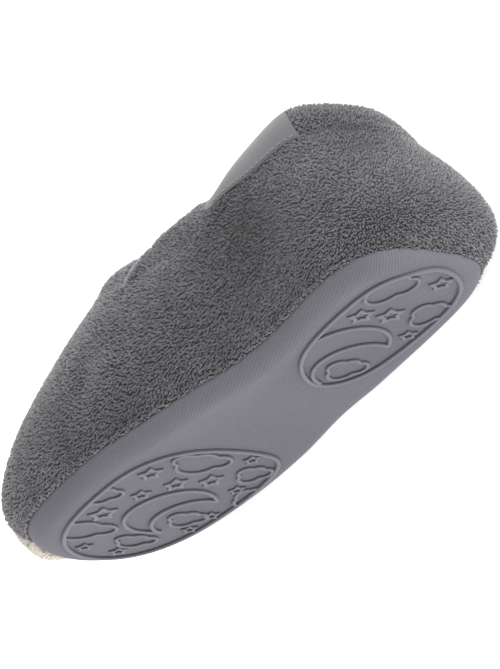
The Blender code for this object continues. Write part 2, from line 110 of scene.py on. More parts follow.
# The wall leaves the seam towards bulge and lift, and comes to the mouth from the lean below it.
STATIONS = (
    Station("heel_back", 2.0, 0.0, 21, 9, -6, 0, -15, 16.0, 0.0, 55.5),
    Station("heel_corner_inner", 4.5, 21.0, 12, 9, -6, 5, -16, 21.0, 13.0, 58.5),
    Station("heel_inner", 22.0, 27.0, 8, 10, -3, 7, -17, 31.0, 20.0, 59.0),
    Station("waist_inner", 58.0, 23.0, 7, 10, 0, 9, -15, 58.0, 22.5, 53.0),
    Station("ball_back_inner", 98.0, 28.5, 7, 11, 3, 12, -12, 84.0, 20.0, 52.4),
    Station("ball_inner", 126.0, 33.3, 7, 12, 10, 15, -7, 103.0, 16.0, 54.0),
    Station("toe_inner", 158.0, 28.3, 12, 13, 18, 12, -8, 112.0, 11.0, 57.5),
    Station("toe_shoulder_inner", 177.0, 16.0, 16, 14, 28, 6, -10, 114.5, 5.0, 61.0),
    Station("toe_tip", 184.5, -4.0, 14, 16, 32, -1, -10, 114.5, -1.0, 62.0),
    Station("toe_shoulder_outer", 175.0, -22.5, 12, 17, 30, -8, -8, 114.0, -7.0, 61.0),
    Station("ball_front_outer", 150.0, -29.3, 9, 14, 19, -13, -6, 110.0, -13.0, 57.5),
    Station("ball_outer", 120.0, -31.0, 9, 12, 9, -14, -7, 101.0, -18.0, 54.0),
    Station("waist_outer", 75.0, -27.6, 9, 12, 0, -10, -14, 66.0, -23.0, 52.8),
    Station("heel_outer", 28.0, -23.8, 9, 12, -3, -8, -16, 33.0, -19.5, 58.0),
    Station("heel_corner_outer", 8.0, -16.5, 18, 8, -6, -5, -16, 23.0, -12.0, 57.0),
)


class Span(NamedTuple):
    """A stretch of the upper that a piece is sewn over, from one place counted in stations to another."""

    start: float
    end: float

    def share(self, number: Array) -> Array:
        """Shares of the way over the stretch of places counted in stations."""
        return (number - self.start) / (self.end - self.start)

    def number(self, share: Array) -> Array:
        """Places counted in stations at shares of the way over the stretch."""
        return self.start + (self.end - self.start) * share


NAMES = [station.name for station in STATIONS]
LABEL_SPAN = Span(NAMES.index("heel_corner_inner") + 0.6, NAMES.index("waist_inner") + 0.05)
PANEL_SPAN = Span(NAMES.index("toe_shoulder_inner") + 0.15, NAMES.index("toe_shoulder_outer") + 0.15)


class Dip(NamedTuple):
    """A place where the collar's edge is drawn down: its station, half width in stations and depth in mm."""

    name: str
    station: float
    half_width: float
    depth: float


DIPS = (
    Dip("under_label", 2.4, 0.4, 1.0),
    Dip("label_front", 3.02, 0.22, 4.3),
    Dip("throat_corner_inner", 4.4, 0.22, 2.2),
    Dip("throat_corner_outer", 11.3, 0.28, 1.6),
)


class Ridge(NamedTuple):
    """Width and height of one kind of raised tread line, in millimetres."""

    width: float
    height: float


RIM = Ridge(1.35, 0.9)
MOON = Ridge(1.3, 0.82)
CLOUD = Ridge(1.15, 0.74)
STAR = Ridge(1.05, 0.66)


class Arc(NamedTuple):
    """An arc of a crescent, in millimetres and degrees from the toe direction towards the inner side."""

    x: float
    y: float
    radius: float
    start: float
    end: float


class Puff(NamedTuple):
    """A cloud: its middle and its size across and along the sole, in millimetres."""

    x: float
    y: float
    across: float
    along: float


class Spark(NamedTuple):
    """A five-pointed star: its middle and the radius of its points, in millimetres."""

    x: float
    y: float
    radius: float


class Pad(NamedTuple):
    """One tread pad: the points of its rim and what stands inside it."""

    name: str
    rim: tuple
    moon: tuple
    clouds: tuple
    stars: tuple


PADS = (
    Pad(
        "heel",
        rim=((68.1, -4.9), (63.7, 5.2), (53.2, 12.7), (39.1, 16), (24.9, 16.9), (12.6, 14.9),
             (5.4, 6.2), (7.2, -6.3), (17.1, -13.5), (32.3, -16.1), (48.5, -16), (61.8, -13)),
        moon=(Arc(48.7, 2, 12.7, 252, 108), Arc(56, -6.7, 11.7, 196, 19)),
        clouds=(Puff(59.2, -5.7, 12.2, 10.8), Puff(26.6, -10.9, 11.5, 12.8), Puff(15.6, 11, 14.5, 16.2)),
        stars=(Spark(28.9, 0.6, 4.8), Spark(30.5, 9.5, 4.5), Spark(10.5, -3.2, 4.1),
               Spark(38.5, -12.4, 3.2)),
    ),
    Pad(
        "forefoot",
        rim=((107.1, -8.6), (109.5, 11.8), (119.8, 22), (134.1, 24.1), (152.7, 21.1), (168.1, 12.4),
             (175.9, -1.5), (172.6, -14.1), (158.8, -21.5), (140.6, -23.8), (124, -24.1), (110.9, -20.1)),
        moon=(Arc(142.9, -5.7, 13.1, -23, 229), Arc(145.2, -13.8, 10.6, 15, 187)),
        clouds=(Puff(115.1, 4.2, 18.9, 11.1), Puff(146.7, -13.8, 12.2, 8.9), Puff(162.7, -7.6, 13.2, 8.1),
                Puff(118.9, -17, 10.6, 8.7), Puff(131.1, -23.9, 8.4, 9.8), Puff(158.4, 14.2, 21.5, 11.5),
                Puff(136.6, 22.1, 11, 8.9)),
        stars=(Spark(146.9, 14.7, 5), Spark(134.4, 10.5, 3.5), Spark(127, 3.8, 4.1), Spark(123.8, -6.2, 4.2),
               Spark(122.4, 15.7, 4.2), Spark(110.8, -11, 3), Spark(169, 5, 3), Spark(170.2, -7.7, 3.2),
               Spark(127.8, -17.9, 2.9), Spark(143.5, -20.2, 3), Spark(152.5, -19.3, 2.8)),
    ),
)


def unit(vectors: Array) -> Array:
    """Vectors scaled to length 1."""
    return vectors / np.maximum(np.linalg.norm(vectors, axis=-1, keepdims=True), 1e-12)


def bell(offset: Array) -> Array:
    """A bell curve: 1 where the offset is 0, and 1 / e where it is 1 to either side."""
    return np.exp(-offset ** 2)


def with_height(plan: Array, z: Array) -> Array:
    """Points from their plan and their heights."""
    return np.concatenate([plan, z[..., None]], axis=-1)


def run_along(line: Array) -> Array:
    """Length of the way along a line of points up to each of them."""
    return np.concatenate([[0.0], np.cumsum(np.linalg.norm(np.diff(line, axis=0), axis=1))])


def between(marks: Array, keys: Array, rows: Array) -> Array:
    """Rows of a table at marks between its keys, by straight lines."""
    return np.stack([np.interp(marks, keys, column) for column in rows.T], axis=-1)


def along_path(path: tuple, count: int) -> Array:
    """Columns of a path's points, at even steps from its first point to its last."""
    rows = np.array(path)
    return between(np.linspace(0, len(rows) - 1, count), np.arange(len(rows)), rows).T


def smoothed(rows: Array, times: int) -> Array:
    """Rows of a closed ring, each drawn towards the mean of its neighbours a number of times."""
    for _ in range(times):
        rows = (np.roll(rows, 1, axis=0) + 2 * rows + np.roll(rows, -1, axis=0)) / 4
    return rows


def linear(code: str) -> tuple[float, float, float, float]:
    """Turns an sRGB hex value into a linear colour.

    Args:
        code: Six hex digits, such as "8a8a90".

    Returns:
        Red, green, blue and alpha as Blender's sockets take them.
    """
    parts = [int(code[i:i + 2], 16) / 255.0 for i in (0, 2, 4)]
    red, green, blue = (c / 12.92 if c <= 0.04045 else ((c + 0.055) / 1.055) ** 2.4 for c in parts)
    return red, green, blue, 1.0


def add_node(tree: bpy.types.NodeTree, kind: str, settings: Optional[dict[str, object]] = None,
             inputs: Optional[dict[Key, object]] = None,
             links: Optional[dict[Key, Socket]] = None) -> bpy.types.Node:
    """Adds one node with its settings and links.

    Args:
        tree: The node tree that it goes in.
        kind: Blender's name for the node.
        settings: Properties of the node.
        inputs: Values of its sockets, by name or number.
        links: Sockets that its own sockets are linked from, by name or number.

    Returns:
        The new node.
    """
    made = tree.nodes.new(kind)
    for name, value in (settings or {}).items():
        setattr(made, name, value)
    for key, value in (inputs or {}).items():
        made.inputs[key].default_value = value
    for key, socket in (links or {}).items():
        tree.links.new(socket, made.inputs[key])
    return made


def per_metre(size_mm: float) -> float:
    """Scale of a texture whose feature has this size in millimetres."""
    return 1.0 / (size_mm * MM)


def wave_scale(pitch_mm: float) -> float:
    """Scale of the wave texture for this pitch in millimetres, since it draws 20 / tau bands per unit."""
    return 2.0 * math.pi / (20.0 * pitch_mm * MM)


@dataclass
class Palette:
    """A material's nodes and shader, with the few kinds of node that the finishes are drawn with."""

    tree: bpy.types.NodeTree
    shader: bpy.types.Node

    def place(self) -> Socket:
        """Places in the object's own coordinates."""
        return add_node(self.tree, "ShaderNodeTexCoord").outputs["Object"]

    def attribute(self, name: str, output: str = "Fac") -> Socket:
        """One of the mesh's attributes, as numbers or, from the output Vector, as vectors."""
        return add_node(self.tree, "ShaderNodeAttribute", {"attribute_name": name}).outputs[output]

    def noise(self, place: Socket, size_mm: float, detail: float = 2.0, roughness: float = 0.5) -> Socket:
        """Noise with features of this size."""
        looks = {"Scale": per_metre(size_mm), "Detail": detail, "Roughness": roughness}
        return add_node(self.tree, "ShaderNodeTexNoise", None, looks, {"Vector": place}).outputs["Fac"]

    def waves(self, place: Socket, axis: str, pitch_mm: float, looks: dict[Key, object]) -> Socket:
        """Bands of this pitch along an axis, with the texture's other values."""
        return add_node(self.tree, "ShaderNodeTexWave", {"wave_type": "BANDS", "bands_direction": axis},
                        {"Scale": wave_scale(pitch_mm), **looks}, {"Vector": place}).outputs["Fac"]

    def blend(self, share: Socket, low: Union[str, Socket], high: str) -> Socket:
        """A colour that goes by a share from a hex value, or another colour's socket, to a hex value."""
        fixed: dict[Key, object] = {7: linear(high)}
        links: dict[Key, Socket] = {0: share}
        if isinstance(low, str):
            fixed[6] = linear(low)
        else:
            links[6] = low
        return add_node(self.tree, "ShaderNodeMix", {"data_type": "RGBA"}, fixed, links).outputs[2]

    def product(self, first: Socket, second: Socket) -> Socket:
        """The product of two values."""
        return add_node(self.tree, "ShaderNodeMath", {"operation": "MULTIPLY"}, None,
                        {0: first, 1: second}).outputs[0]

    def scaled(self, value: Socket, factor: float, added: Union[float, Socket]) -> Socket:
        """A value times a factor, plus a number or another value."""
        fixed: dict[Key, object] = {1: factor}
        links: dict[Key, Socket] = {0: value}
        if isinstance(added, float):
            fixed[2] = added
        else:
            links[2] = added
        return add_node(self.tree, "ShaderNodeMath", {"operation": "MULTIPLY_ADD"}, fixed, links).outputs[0]

    def lit(self, colour: Socket, value: Socket) -> Socket:
        """A colour made lighter or darker by a value."""
        return add_node(self.tree, "ShaderNodeHueSaturation", None, None,
                        {"Value": value, "Color": colour}).outputs["Color"]

    def dress(self, colour: Socket) -> None:
        """Gives the shader its colour."""
        self.tree.links.new(colour, self.shader.inputs["Base Color"])

    def emboss(self, height: Socket, strength: float, depth_mm: float) -> None:
        """Gives the shader a fine relief of this strength and depth."""
        bump = add_node(self.tree, "ShaderNodeBump", None, {"Strength": strength, "Distance": depth_mm * MM},
                        {"Height": height})
        self.tree.links.new(bump.outputs["Normal"], self.shader.inputs["Normal"])


@dataclass(frozen=True)
class Finish:
    """A fabric's surface: its name, the values set on the shader's own sockets and its fine relief."""

    name: str
    roughness: float = 0.9
    sheen: float = 0.0
    sheen_roughness: float = 0.5
    sheen_tint: str = "ffffff"
    specular: float = 0.3

    def material(self) -> bpy.types.Material:
        """The material, with its shader's constant sockets set and its pattern drawn."""
        made = bpy.data.materials.new(self.name)
        made.use_nodes = True
        shader = made.node_tree.nodes["Principled BSDF"]
        looks = {"Roughness": self.roughness, "Specular IOR Level": self.specular,
                 "Sheen Weight": self.sheen, "Sheen Roughness": self.sheen_roughness,
                 "Sheen Tint": linear(self.sheen_tint)}
        for socket, value in looks.items():
            shader.inputs[socket].default_value = value
        self.draw(Palette(made.node_tree, shader))
        return made

    def draw(self, palette: Palette) -> None:
        """Draws the pattern of the finish with the material's palette; each kind has its own."""
        raise NotImplementedError


@dataclass(frozen=True)
class LoopPlush(Finish):
    """Polyester micro terry with loops that stand up: matt, with painted shade between them at their roots,
    pale at grazing light.
    """

    # The root is far darker than the tip: painted shade between the loops.
    root: str = "343336"
    tip: str = "9e9ca0"
    spread: float = 0.42         # from the darkest loop to the lightest
    mottle: float = 0.56         # from the darkest patch to the lightest
    mottle_mm: float = 16.0
    fibre_mm: float = 0.32

    def draw(self, palette: Palette) -> None:
        """Colours loops from a painted shade at the root to the tip, each a little lighter or darker at
        random and by painted shade and highlight patches, with soft patches and fibres.
        """
        place = palette.place()
        loop_tone_and_painted_shade = palette.scaled(palette.attribute("tone"), self.spread, 1.0 - self.spread / 2)
        patches = palette.noise(place, self.mottle_mm)
        patch_tone = palette.scaled(patches, self.mottle, 1.0 - self.mottle / 2)
        root_shade_ramp = palette.blend(palette.attribute("tip"), self.root, self.tip)
        palette.dress(palette.lit(root_shade_ramp, palette.product(loop_tone_and_painted_shade, patch_tone)))
        palette.emboss(palette.noise(place, self.fibre_mm, detail=3.0), strength=0.5, depth_mm=0.15)


@dataclass(frozen=True)
class KnitFoam(Finish):
    """EVA foam under a fine warp knit, heat moulded: smooth in the middle, ribbed aslant at the margin."""

    colour: str = "74727a"
    shade: str = "6c6a72"
    # crease: painted shade at the feet of the tread lines, where their foot attribute is 1
    crease: str = "504f55"
    rib_mm: float = 0.88         # the real ribs are about 0.5 mm apart, too fine to show
    rib_slant: float = math.radians(-67)
    rib_tone: float = 0.18       # how much lighter a rib's crest is
    mottle_mm: float = 22.0
    grain_mm: float = 0.45
    grain_tone: float = 0.5
    grain_relief: float = 0.35   # height of the grain where a rib's is 1
    tone: float = 0.7            # where the grain is darkest

    def draw(self, palette: Palette) -> None:
        """Slanting ribs on the unrolled knit, as deep as the margin says, and painted shade at the tread
        lines' feet.
        """
        place = palette.place()
        turned = add_node(palette.tree, "ShaderNodeMapping", None, {"Rotation": (0.0, 0.0, self.rib_slant)},
                          {"Vector": palette.attribute("knit", "Vector")}).outputs[0]
        ribs = palette.waves(turned, "X", self.rib_mm,
                             {"Distortion": 1.2, "Detail": 2.0, "Detail Scale": 1.5})
        depth = palette.product(ribs, palette.attribute("margin"))
        grain = palette.noise(place, self.grain_mm)
        tone = palette.scaled(depth, self.rib_tone, palette.scaled(grain, self.grain_tone, self.tone))
        colour = palette.blend(palette.noise(place, self.mottle_mm), self.shade, self.colour)
        # Blends in the crease colour by the foot attribute: painted shade at the feet of the tread lines.
        palette.dress(palette.blend(palette.attribute("foot"), palette.lit(colour, tone), self.crease))
        palette.emboss(palette.scaled(grain, self.grain_relief, depth), strength=0.4, depth_mm=0.12)


@dataclass(frozen=True)
class BrushedFabric(Finish):
    """Brushed polyester tricot: a short soft nap with no clear weave, a little mottled."""

    colour: str = "aeaab7"
    shade: str = "9793a0"
    nap_mm: float = 0.7

    def draw(self, palette: Palette) -> None:
        """A nap of fine noise that colours and roughens the cloth."""
        nap = palette.noise(palette.place(), self.nap_mm, detail=4.0, roughness=0.65)
        palette.dress(palette.blend(nap, self.shade, self.colour))
        palette.emboss(nap, strength=0.6, depth_mm=0.25)


@dataclass(frozen=True)
class SatinRibbon(Finish):
    """Woven polyester satin: long floats that shine along the ribbon, with fine cross ribs."""

    colour: str = "7d7c7f"
    shade: str = "6b6a6d"
    thread_mm: float = 0.55      # the real threads are about 0.2 mm apart, too fine to show
    slub_mm: float = 1.2

    def draw(self, palette: Palette) -> None:
        """Fine ribs along the ribbon's own coordinates, along and across it."""
        weave = palette.attribute("weave", "Vector")
        floats = palette.waves(weave, "Y", self.thread_mm, {"Distortion": 0.6, "Detail": 1.0})
        mixed = palette.product(floats, palette.noise(weave, self.slub_mm))
        palette.dress(palette.blend(mixed, self.shade, self.colour))
        palette.emboss(floats, strength=0.3, depth_mm=0.08)


@dataclass(frozen=True)
class SpunThread(Finish):
    """Spun polyester sewing thread: matt, with a fine twist."""

    colour: str = "b4b3b6"
    shade: str = "8e8d92"
    twist_mm: float = 0.3

    def draw(self, palette: Palette) -> None:
        """A twist of fine noise."""
        twist = palette.noise(palette.place(), self.twist_mm)
        palette.dress(palette.blend(twist, self.shade, self.colour))


@dataclass(frozen=True)
class TableTop(Finish):
    """White acrylic of a product table, matt and even, lit softly from below so that shadows stay faint."""

    colour: str = "f4f4f4"
    glow: float = 0.75

    def draw(self, palette: Palette) -> None:
        """One plain colour and an even glow."""
        sockets = palette.shader.inputs
        sockets["Base Color"].default_value = linear(self.colour)
        sockets["Emission Color"].default_value = linear(self.colour)
        sockets["Emission Strength"].default_value = self.glow


@dataclass
class ClosedSpline:
    """The smooth closed curve through a table of millimetres whose first two columns are its plan."""

    table: Sequence[Sequence[float]]
    rows: Array = field(init=False)
    gap: Array = field(init=False)
    slopes: Array = field(init=False)
    keys: Array = field(init=False)

    def __post_init__(self) -> None:
        """Solves the slopes of a centripetal cubic spline, whose bends match at each row."""
        rows = np.asarray(self.table, float) * MM
        step = np.roll(rows, -1, axis=0) - rows
        gap = np.sqrt(np.linalg.norm(step[:, :2], axis=1))
        before = np.roll(gap, 1)
        index = np.arange(len(rows))
        system = np.zeros((len(rows), len(rows)))
        system[index, index - 1] = gap
        system[index, index] = 2.0 * (gap + before)
        system[index, (index + 1) % len(rows)] = before
        pull = gap[:, None] * np.roll(step, 1, axis=0) / before[:, None]
        pull = pull + before[:, None] * step / gap[:, None]
        self.rows, self.gap = rows, gap
        self.slopes = np.linalg.solve(system, 3.0 * pull)
        self.keys = np.concatenate([[0.0], np.cumsum(gap)])

    def at(self, u: Array) -> Array:
        """Points of the curve at the parameters u."""
        u = np.mod(u, self.keys[-1])
        i = np.clip(np.searchsorted(self.keys, u, side="right") - 1, 0, len(self.rows) - 1)
        k = (i + 1) % len(self.rows)
        h = self.gap[i][:, None]
        f = (u - self.keys[i])[:, None] / h
        start = self.rows[i] * (1 + 2 * f) * (1 - f) ** 2 + h * self.slopes[i] * f * (1 - f) ** 2
        return start + self.rows[k] * f * f * (3 - 2 * f) + h * self.slopes[k] * f * f * (f - 1)

    def even(self, count: int) -> Array:
        """Parameters that part the curve's plan into this many equal lengths."""
        fine = np.linspace(0.0, self.keys[-1], FINE_STEPS)
        plan = self.at(fine[:-1])[:, :2]
        run = run_along(np.vstack([plan, plan[:1]]))
        return np.interp(np.arange(count) * run[-1] / count, run, fine)


@dataclass
class Last:
    """The slipper's last: the surface of the upper, the sole's plan and where it all lies."""

    wall: float = 3.0 * MM
    seam_height: float = 5.0 * MM
    clearance: float = 0.3 * MM
    sole_roll: float = 7.0 * MM
    toe_spring: float = 5.0 * MM
    spring_start: float = 128.0 * MM
    spring_run: float = 59.0 * MM
    arch_rise: float = 0.8 * MM
    arch_middle: float = 88.0 * MM
    arch_half: float = 22.0 * MM
    seam_step: float = 1.2 * MM
    collar_roll: float = 11.0 * MM
    collar_swell: float = 0.9 * MM
    collar_crease: float = 0.45 * MM
    crease_depth: float = 6.7 * MM
    crease_width: float = 1.2 * MM
    crease_reach: float = 0.7          # stations on either side of the heel's back
    middle: tuple = (92.0 * MM, -2.0 * MM)    # of the sole's plan, where its rings close
    solid_stations: int = 84
    curve: ClosedSpline = field(init=False)
    yaw: float = field(init=False)
    floor_span: float = field(init=False)
    turn: Array = field(init=False)
    offset: Array = field(init=False)

    def __post_init__(self) -> None:
        """Works out the lying pose: the line that touches the outer heel and ball lies on the floor."""
        self.curve = ClosedSpline([station[1:] for station in STATIONS])
        heel, ball = STATIONS[NAMES.index("heel_outer")], STATIONS[NAMES.index("ball_outer")]
        self.yaw = math.atan2(heel.seam_y - ball.seam_y, ball.seam_x - heel.seam_x)
        plan = self.curve.at(self.curve.even(FINE_STEPS))
        self.floor_span = float(np.min(math.sin(self.yaw) * plan[:, 0] + math.cos(self.yaw) * plan[:, 1]))
        on_side = Matrix.Rotation(math.pi, 3, "Z") @ Matrix.Rotation(math.pi / 2, 3, "X")
        self.turn = np.array(on_side @ Matrix.Rotation(self.yaw, 3, "Z"))
        self.offset = np.zeros(3)
        self.offset = self.find_offset()

    def find_offset(self) -> Array:
        """Shift that sets the sole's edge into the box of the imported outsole.

        Returns:
            The shift in metres, in the frame's axes.
        """
        low, high = (np.array(corner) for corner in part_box("outsole"))
        ring = self.lay_down(self.roll_ring(self.curve.even(self.solid_stations), self.roll_end()))
        shift = (low + high) / 2 - (ring.min(axis=0) + ring.max(axis=0)) / 2
        shift[1] = high[1] - ring[:, 1].max()
        return shift

    def lay_down(self, points: Array) -> Array:
        """Points of the last as they lie in the frame."""
        return np.asarray(points) @ self.turn.T + self.offset

    def at_station(self, number: Array) -> Array:
        """Parameter of a place counted in stations: 1.5 is half way from the second to the third."""
        return np.interp(number, np.arange(len(self.curve.keys)), self.curve.keys)

    def station_of(self, u: Array) -> Array:
        """Place of a parameter, counted in stations."""
        return np.interp(u, self.curve.keys, np.arange(len(self.curve.keys)))

    def collar_dip(self, u: Array) -> Array:
        """How far the collar's edge is drawn down its rib at u, as a sum of bell curves."""
        number = self.station_of(u)
        return sum(dip.depth * MM * bell((number - dip.station) / dip.half_width) for dip in DIPS)

    def sole_rise(self, x: Array) -> Array:
        """Height of the sole's plane: a cosine hollow at the waist and a parabola up to the toe."""
        spring = self.toe_spring * (np.maximum(x - self.spring_start, 0.0) / self.spring_run) ** 2
        waist = np.clip((x - self.arch_middle) / self.arch_half, -1.0, 1.0)
        return spring + self.arch_rise * np.cos(waist * math.pi / 2) ** 2

    def sole_top(self, x: Array) -> Array:
        """Height of the sole's top inside the slipper."""
        return self.seam_height + self.sole_rise(x)

    def rings(self, edge: Array, shares: Array) -> Array:
        """Plan of rings at shares of the way from the sole's middle out to an edge."""
        middle = np.array(self.middle)
        return middle + (edge - middle) * shares[:, None]

    def seam_and_outward(self, u: Array) -> tuple[Array, Array]:
        """Plan of the sole's seam at u and the unit vectors that point out of it."""
        nudge = self.curve.keys[-1] * NUDGE
        seam = self.curve.at(u)[:, :2]
        along = unit(self.curve.at(u + nudge)[:, :2] - self.curve.at(u - nudge)[:, :2])
        return seam, np.stack([-along[:, 1], along[:, 0]], axis=1)

    def roll_end(self) -> float:
        """Angle round the sole's rolled edge at which it meets the seam."""
        return math.acos(1.0 - (self.seam_height - self.clearance) / self.sole_roll)

    def roll_ring(self, u: Array, angle: float) -> Array:
        """Ring of the sole's rolled edge at an angle round the roll, from 0 at its flat underside."""
        seam, outward = self.seam_and_outward(u)
        plan = seam + outward * self.sole_roll * (math.sin(angle) - math.sin(self.roll_end()))
        return np.column_stack([plan, self.sole_roll * (1.0 - math.cos(angle)) + self.sole_rise(plan[:, 0])])

    def rib_controls(self, u: Array) -> list[Array]:
        """The four control points of the ribs at u: seam, bulge, lean and mouth."""
        row = self.curve.at(u)
        bulge, lift, lean, mouth = row[:, 2:3], row[:, 3], row[:, 4:7], row[:, 7:10]
        seam, outward = self.seam_and_outward(u)
        rise = self.seam_height + self.seam_step + self.sole_rise(row[:, 0])
        start = np.column_stack([seam, rise])
        swell = start + np.column_stack([outward * bulge, lift])
        return [start, swell, mouth + lean, mouth + unit(lean) * self.collar_dip(u)[:, None]]

    def pace(self, u: Array) -> Array:
        """Length of the ribs at u for the whole of their way, by their slope at the mouth."""
        controls = self.rib_controls(u)
        return 3.0 * np.linalg.norm(controls[3] - controls[2], axis=1)[:, None]

    def depth(self, u: Array, t: Array) -> Array:
        """Length of rib from a share t of the way up to the mouth, by the rib's pace there."""
        return self.pace(u) * (1.0 - t)

    def share(self, u: Array, depth: Array) -> Array:
        """Share t of the ribs at u that lies at a depth below the mouth."""
        return 1.0 - depth / self.pace(u)

    def rib_points(self, u: Array, t: Array) -> Array:
        """Points of the ribs, each a cubic Bezier curve from seam to mouth."""
        a, b, c, d = (point[:, None, :] for point in self.rib_controls(u))
        t = t[..., None]
        return a * (1 - t) ** 3 + 3 * b * t * (1 - t) ** 2 + 3 * c * t * t * (1 - t) + d * t ** 3

    def face(self, u: Array, t: Array) -> tuple[Array, Array]:
        """The upper's outer face: ribs with a padded roll at the mouth, creased under it round the heel.

        Args:
            u: Parameters of the ribs.
            t: Shares of their way from seam to mouth, one row for each rib.

        Returns:
            Points and outward unit normals, on the last.
        """
        nudge = self.curve.keys[-1] * NUDGE
        a, b, c, d = (point[:, None, :] for point in self.rib_controls(u))
        s = t[..., None]
        slope = (b - a) * (1 - s) ** 2 + 2 * (c - b) * s * (1 - s) + (d - c) * s * s
        across = self.rib_points(u + nudge, t) - self.rib_points(u - nudge, t)
        normals = unit(np.cross(slope, across))
        depth = self.depth(u, t)
        roll = self.collar_swell * np.sin(np.pi * np.clip(depth / self.collar_roll, 0.0, 1.0))
        number = self.station_of(u)
        heelward = np.minimum(number, len(STATIONS) - number)
        crease = self.collar_crease * bell(heelward / self.crease_reach)[:, None]
        roll = roll - crease * bell((depth - self.crease_depth) / self.crease_width)
        return self.rib_points(u, t) + normals * roll[..., None], normals

    def on_floor_side(self, points: Array) -> Array:
        """Points with none past the floor that the outer side lies on."""
        points = points.copy()
        floor = (self.floor_span - math.sin(self.yaw) * points[..., 0]) / math.cos(self.yaw)
        points[..., 1] = np.maximum(points[..., 1], floor)
        return points


def grid_faces(columns: int, rows: int, closed_columns: bool, closed_rows: bool) -> Array:
    """Quads of a grid, each direction of which may be closed to a ring.

    Args:
        columns: Points in the first direction.
        rows: Points in the second direction.
        closed_columns: Whether the last column joins the first.
        closed_rows: Whether the last row joins the first.

    Returns:
        Point numbers, four for each face.
    """
    i, j = np.meshgrid(np.arange(columns if closed_columns else columns - 1),
                       np.arange(rows if closed_rows else rows - 1), indexing="ij")
    i, j = i.ravel(), j.ravel()
    k, m = (i + 1) % columns, (j + 1) % rows
    return np.stack([i * rows + j, i * rows + m, k * rows + m, k * rows + j], axis=1)


def facing_out(points: Array, faces: Array) -> Array:
    """Faces of a closed surface, all turned round if the volume that they enclose comes out below zero."""
    corners = points[faces]
    volume = 0.0
    for k in range(1, faces.shape[1] - 1):
        volume += float(np.sum(corners[:, 0] * np.cross(corners[:, k], corners[:, k + 1])))
    return faces[:, ::-1] if volume < 0 else faces


def surface_object(name: str, points: Array, faces: Array, finish: Finish, weld: bool = False,
                   attributes: Optional[dict[str, Array]] = None) -> bpy.types.Object:
    """A new mesh object with its place in its mesh.

    Args:
        name: The piece's name.
        points: Its points in the frame, in any grid shape.
        faces: Point numbers, the same count for each face.
        finish: What it is dressed in.
        weld: Whether points that coincide, at poles and ends, are merged.
        attributes: Values for each point, numbers or vectors, by name.

    Returns:
        The object, linked to the scene.
    """
    points = np.ascontiguousarray(points.reshape(-1, 3), np.float32)
    mesh = bpy.data.meshes.new(name)
    mesh.vertices.add(len(points))
    mesh.vertices.foreach_set("co", points.ravel())
    mesh.loops.add(faces.size)
    mesh.loops.foreach_set("vertex_index", np.ascontiguousarray(faces, np.int32).ravel())
    mesh.polygons.add(len(faces))
    mesh.polygons.foreach_set("loop_start", np.arange(len(faces), dtype=np.int32) * faces.shape[1])
    for label, values in (attributes or {}).items():
        wide = values.ndim > 1 and values.shape[-1] == 3
        layer = mesh.attributes.new(label, "FLOAT_VECTOR" if wide else "FLOAT", "POINT")
        layer.data.foreach_set("vector" if wide else "value", values.astype(np.float32).ravel())
    mesh.update(calc_edges=True)
    if weld:
        body = bmesh.new()
        body.from_mesh(mesh)
        bmesh.ops.remove_doubles(body, verts=body.verts, dist=WELD)
        body.to_mesh(mesh)
        body.free()
    mesh.validate()
    mesh.shade_smooth()
    mesh.materials.append(finish.material())
    made = bpy.data.objects.new(name, mesh)
    bpy.context.scene.collection.objects.link(made)
    return made


def grid_object(name: str, placed: Array, closed: tuple[bool, bool], finish: Finish, weld: bool = False,
                attributes: Optional[dict[str, Array]] = None) -> bpy.types.Object:
    """A new mesh object from a grid of points that encloses a volume, with its faces turned outwards.

    Args:
        name: The piece's name.
        placed: Its points in the frame, columns by rows by 3.
        closed: Whether the columns, and whether the rows, close to a ring.
        finish: What it is dressed in.
        weld: Whether points that coincide are merged.
        attributes: Values for each point, by name.

    Returns:
        The object, linked to the scene.
    """
    faces = facing_out(placed.reshape(-1, 3), grid_faces(*placed.shape[:2], *closed))
    return surface_object(name, placed, faces, finish, weld, attributes)


def joined(grids: Sequence[tuple[Array, bool]]) -> tuple[Array, Array]:
    """Several cords as one mesh.

    Args:
        grids: Each cord's points in the frame, along by round by 3, and whether it closes to a ring.

    Returns:
        Points and faces.
    """
    points, faces, count = [], [], 0
    for grid, closed in grids:
        flat = grid.reshape(-1, 3)
        points.append(flat)
        faces.append(facing_out(flat, grid_faces(*grid.shape[:2], closed, True)) + count)
        count += len(flat)
    return np.vstack(points), np.vstack(faces)


def settle(piece: bpy.types.Object, slot: Slot, *nodes: str) -> bpy.types.Object:
    """Sets a piece into the frame: it rides on the slipper and stands for its solids.

    Args:
        piece: The finished piece.
        slot: The record's slot for its finish. It is not used.
        nodes: Names of the solids that it replaces.

    Returns:
        The same piece.
    """
    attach(piece, "root")
    if nodes:
        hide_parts(*nodes)
    LOG.info("%s: %d faces", piece.name, len(piece.data.polygons))
    return piece


class Fold(NamedTuple):
    """A soft trough, or a ridge where its heights are above zero, in the plush.

    Its path's points are (station, share of the way up, height in mm), and width is its half width in mm.
    """

    name: str
    path: tuple
    width: float


